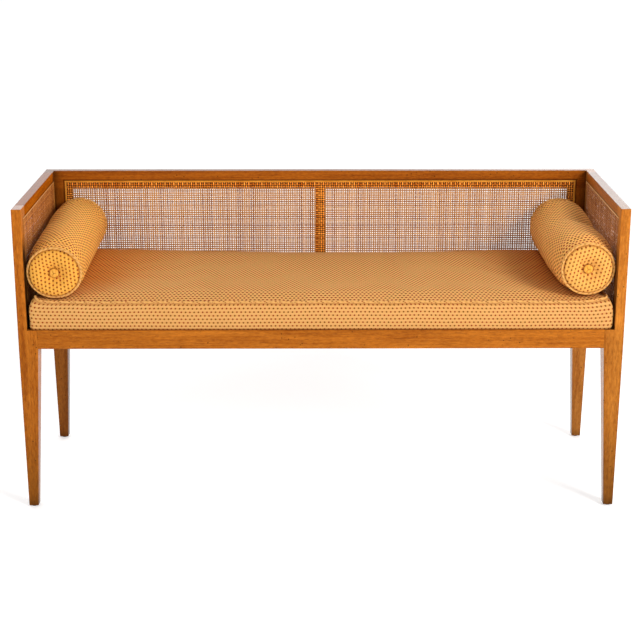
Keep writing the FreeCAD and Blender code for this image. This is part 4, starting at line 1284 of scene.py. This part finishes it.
def buildBolster(side):
    # rings along the axis and a disc at each end, filled, and then kept within the full radius
    size = bolsterSize
    body = f"{side}_bolster"
    middle, direction, radius, half = bolsterAxis(side)
    across = unit(np.cross(direction, np.array([0.0, 0.0, 1.0])))
    up = np.cross(across, direction)
    circle = np.cos(circleAngle)[:, None] * across + np.sin(circleAngle)[:, None] * up
    draws = np.random.default_rng(size["seed"][side])
    even = np.linspace(-1, 1, size["along"])
    along = (np.sin(even * math.pi / 2) * 0.35 + even * 0.65) * half
    rings = bolsterRadius(side, along, radius, half)
    line = bolsterLine(side, along, half)
    centres = middle + along[:, None] * direction + line[0][:, None] * across + line[1][:, None] * up
    sink, calm = bolsterSink(side, along, half, draws)
    fullRadius = rings[:, None] - sink
    bodyRadius = fullRadius - ((size["swell"] * 0.8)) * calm
    # the front rings are lower than they are wide
    flat = size["flatten"][side] * smoothRise(-along, half - size["flattenReach"], half)
    ovals = circle - (circle @ up)[:, None] * up * flat[:, None, None]
    skin = clearArm(centres[:, None] + ovals * bodyRadius[..., None])
    ids = gridIds(skin)
    girth = fullTurn / (2 * math.pi) * size["girthDots"] * fabricLook["dotAcross"]
    points, faceSets = [skin], [gridQuads(closeRows(ids))]
    maps = [gridCloth(np.stack(np.broadcast_arrays(girth[None, :], along[:, None]), -1))]
    # painted shade along the seams and in the fold
    seamShade = 0.6 * hump(half - np.abs(along), 0.004)
    crease = [np.maximum(seamShade[:, None], sink / size["foldFull"] * size["foldShade"]).ravel()]
    ends = {"front": (-1, 0), "back": (1, -1)}
    hubLines = {end: centres[number] - way * half * direction for end, (way, number) in ends.items()}
    count = ids.size
    for end, (way, number) in ends.items():
        disc, hub, shade, discRadius = bolsterEnd(
            way, hubLines[end], direction, half, rings[number], ovals[number], draws
        )
        discIds = gridIds(disc, count)
        count += discIds.size + 1
        points += [disc, hub[None]]
        crease += [np.repeat(shade, size["around"]), np.zeros(1)]
        closed = closeRows(np.concatenate([ids[number][None], discIds]))
        turned = fullTurn + math.radians(size["clothTurn"][side])
        cloth = polarCloth(np.concatenate([[rings[number]], discRadius]), turned)
        faces = [gridQuads(closed), fan(closed[-1], count - 1)]
        cloths = [gridCloth(cloth), fan(cloth[-1], 0.0)]
        faceSets += [part[:, ::way] for part in faces]
        maps += [part[:, ::way] for part in cloths]
    points = np.concatenate([part.reshape(-1, 3) for part in points])
    # the seams and the rings under the buttons stay where they are sewn
    seams = np.repeat(np.abs(even) == 1, size["around"])
    tufted = np.append(np.repeat(discRadius < size["buttonRadius"], size["around"]), True)
    sewn = np.concatenate([seams, tufted, tufted])
    filled = clearArm(inflate(points, faceSets, sewn, size["coverSlack"], size["swell"]))
    spoke = filled[: ids.size].reshape(skin.shape) - centres[:, None]
    run = (spoke @ direction)[..., None] * direction
    keep = np.minimum(1, fullRadius / np.linalg.norm(spoke - run, axis=2))[..., None]
    filled[: ids.size] = (centres[:, None] + run + (spoke - run) * keep).reshape(-1, 3)
    # the body is marked bold: larger dots and painted light
    bold = np.where(np.arange(len(filled)) < ids.size, size["bodyBold"], 0.0)
    marks = {"crease": np.concatenate(crease), "bold": bold}
    cover, replaced = f"{body}_cover", (f"{body}_pad",)
    pad = closedPiece(cover, filled, faceSets, bolsterFabric[side], body, replaced, maps, marks)
    addSmoothing(pad)
    # welts over the seams, and the buttons
    for end, (way, number) in ends.items():
        first = end == "front"
        oval = ovals[number]
        path = hubLines[end] + way * (half + size["weltAhead"]) * direction
        path = path + oval * (rings[number] + size["weltProud"])
        replaced = (f"{body}_welts",) if first else ()
        name = f"{body}_{end}_welt"
        weltTube(name, path, oval, size["weltRadius"], body, replaced, bolsterPiping, size["weltCorners"])
        buildButton(f"{body}_{end}_button", hubLines[end], way * direction, half, circle, body, first)


buttonSize = {
    "radius": 0.0102,
    "height": 0.0056,
    "rim": 0.0021,
    "rimShare": 0.3,
    "rings": 14,
    "seat": 0.0016,
    "clothSpot": (0.0094, 0.0069),
}


def buildButton(name, middle, outward, half, circle, body, first):
    # a covered button: a rolled rim, then a low dome
    size = buttonSize
    t = np.linspace(0, 1, size["rings"])
    rolled = t < size["rimShare"]
    rim, dome = t / size["rimShare"], (t - size["rimShare"]) / (1 - size["rimShare"])
    radius = size["radius"] * np.where(rolled, 0.80 + 0.20 * np.sin(rim * math.pi / 2), np.cos(dome * 1.42))
    domeHeight = size["rim"] + (size["height"] - size["rim"]) * np.sin(dome * math.pi / 2)
    height = np.where(rolled, size["rim"] * rim, domeHeight)
    foot = half + size["seat"]
    skin = middle + (foot + height)[:, None, None] * outward + circle[None] * radius[:, None, None]
    tip = middle + (foot + size["height"] + 0.00005) * outward
    base = middle + foot * outward
    points = np.concatenate([skin.reshape(-1, 3), tip[None], base[None]])
    closed = closeRows(gridIds(skin))
    top, under = len(points) - 2, len(points) - 1
    cloth = polarCloth((size["radius"] - radius) * 0.3 + radius, fullTurn) + size["clothSpot"]
    faces = np.concatenate([fan(closed[-1], top), fan(closed[0], under)[:, [1, 0, 2]]])
    ends = [fan(cloth[-1], size["clothSpot"]), fan(cloth[0], size["clothSpot"])[:, [1, 0, 2]]]
    faceSets, maps = [gridQuads(closed), faces], [gridCloth(cloth), np.concatenate(ends)]
    replaced = (f"{body}_buttons",) if first else ()
    closedPiece(name, points, faceSets, buttonFabric, body, replaced, maps)


for side in ("left", "right"):
    buildBolster(side)
print("bolsters made")


# Floor, light and camera
stageLook = {
    "floor": 0.80,
    "floorGlow": 0.38,
    "floorReach": 60.0,
    "worldFront": 0.32,
    "worldBack": 1.75,
    "panelGlow": 3.7,
    "panelWay": (0.36, 0.91, 0.20),
    "panelEdge": (0.935, 0.985),
    "cameraSpot": (-0.019, -3.493, 1.428),
    "cameraYaw": 0.285,
    "cameraPitch": 16.627,
    "lens": 84.74,
    "sensor": 36,
}
lights = {
    "key": {"spot": (2.8, -3.05, 2.4), "aim": (0, 0, 0.45), "size": 1.3, "power": 154},
    "fill": {"spot": (-2.8, -3.0, 2.4), "aim": (0, 0, 0.5), "size": 2.0, "power": 42},
}


def grey(value):
    return (value, value, value)


def floorMaterial():
    # plain and pale, with a faint mottle
    material, place = startMaterial("pale_floor")
    mottle = place.noise(3, 2)
    color = mottle.blend(grey(stageLook["floor"]), grey(stageLook["floor"] * 1.02))
    glow = {"Emission_Color": (1, 1, 1, 1), "Emission_Strength": stageLook["floorGlow"]}
    return finishMaterial(material, color, mottle * 0.05 + 0.8, mottle, 0.00001, Specular_IOR_Level=0.1, **glow)


def studioWorld():
    # a pale surround, brighter behind the bench than in front, with a white panel that the arm tops mirror
    world = bpy.data.worlds.new("studio")
    world.use_nodes = True
    tree = world.node_tree
    around = Shade(tree, tree.nodes.new("ShaderNodeTexCoord").outputs["Generated"])
    color = around.parts()[1].rise(0.0, 0.75).blend(grey(stageLook["worldFront"]), grey(stageLook["worldBack"]))
    near = around.vectorMaths("DOT_PRODUCT", stageLook["panelWay"], 1)
    color = near.rise(*stageLook["panelEdge"]).blend(color, grey(stageLook["panelGlow"]))
    tree.links.new(color.socket, tree.nodes["Background"].inputs["Color"])
    return world


def buildStage():
    reach = stageLook["floorReach"]
    corners = np.array([[-reach, -reach, 0], [reach, -reach, 0], [reach, reach, 0], [-reach, reach, 0]])
    mesh = putMesh("floor", corners, [np.array([[0, 1, 2, 3]])])
    floor = bpy.data.objects.new("floor", mesh)
    mesh.materials.append(floorMaterial())
    scene.collection.objects.link(floor)
    scene.world = studioWorld()


def addAimed(name, data, spot, aim):
    # a light or camera at a spot, looking along aim
    holder = bpy.data.objects.new(name, data)
    holder.location = spot
    holder.rotation_euler = aim.to_track_quat("-Z", "Y").to_euler()
    scene.collection.objects.link(holder)
    return holder


def addLight(name, light):
    lamp = bpy.data.lights.new(name, "AREA")
    lamp.size = light["size"]
    lamp.energy = light["power"]
    addAimed(name, lamp, light["spot"], Vector(light["aim"]) - Vector(light["spot"]))


def addCamera():
    lens = bpy.data.cameras.new("camera")
    lens.lens = stageLook["lens"]
    lens.sensor_width = stageLook["sensor"]
    yaw, pitch = math.radians(stageLook["cameraYaw"]), math.radians(stageLook["cameraPitch"])
    aim = Vector((math.sin(yaw) * math.cos(pitch), math.cos(yaw) * math.cos(pitch), -math.sin(pitch)))
    scene.camera = addAimed("camera", lens, stageLook["cameraSpot"], aim)


buildStage()
for name, light in lights.items():
    addLight(name, light)
addCamera()
scene.view_settings.view_transform = "Standard"
scene.view_settings.look = "None"
print("stage set")
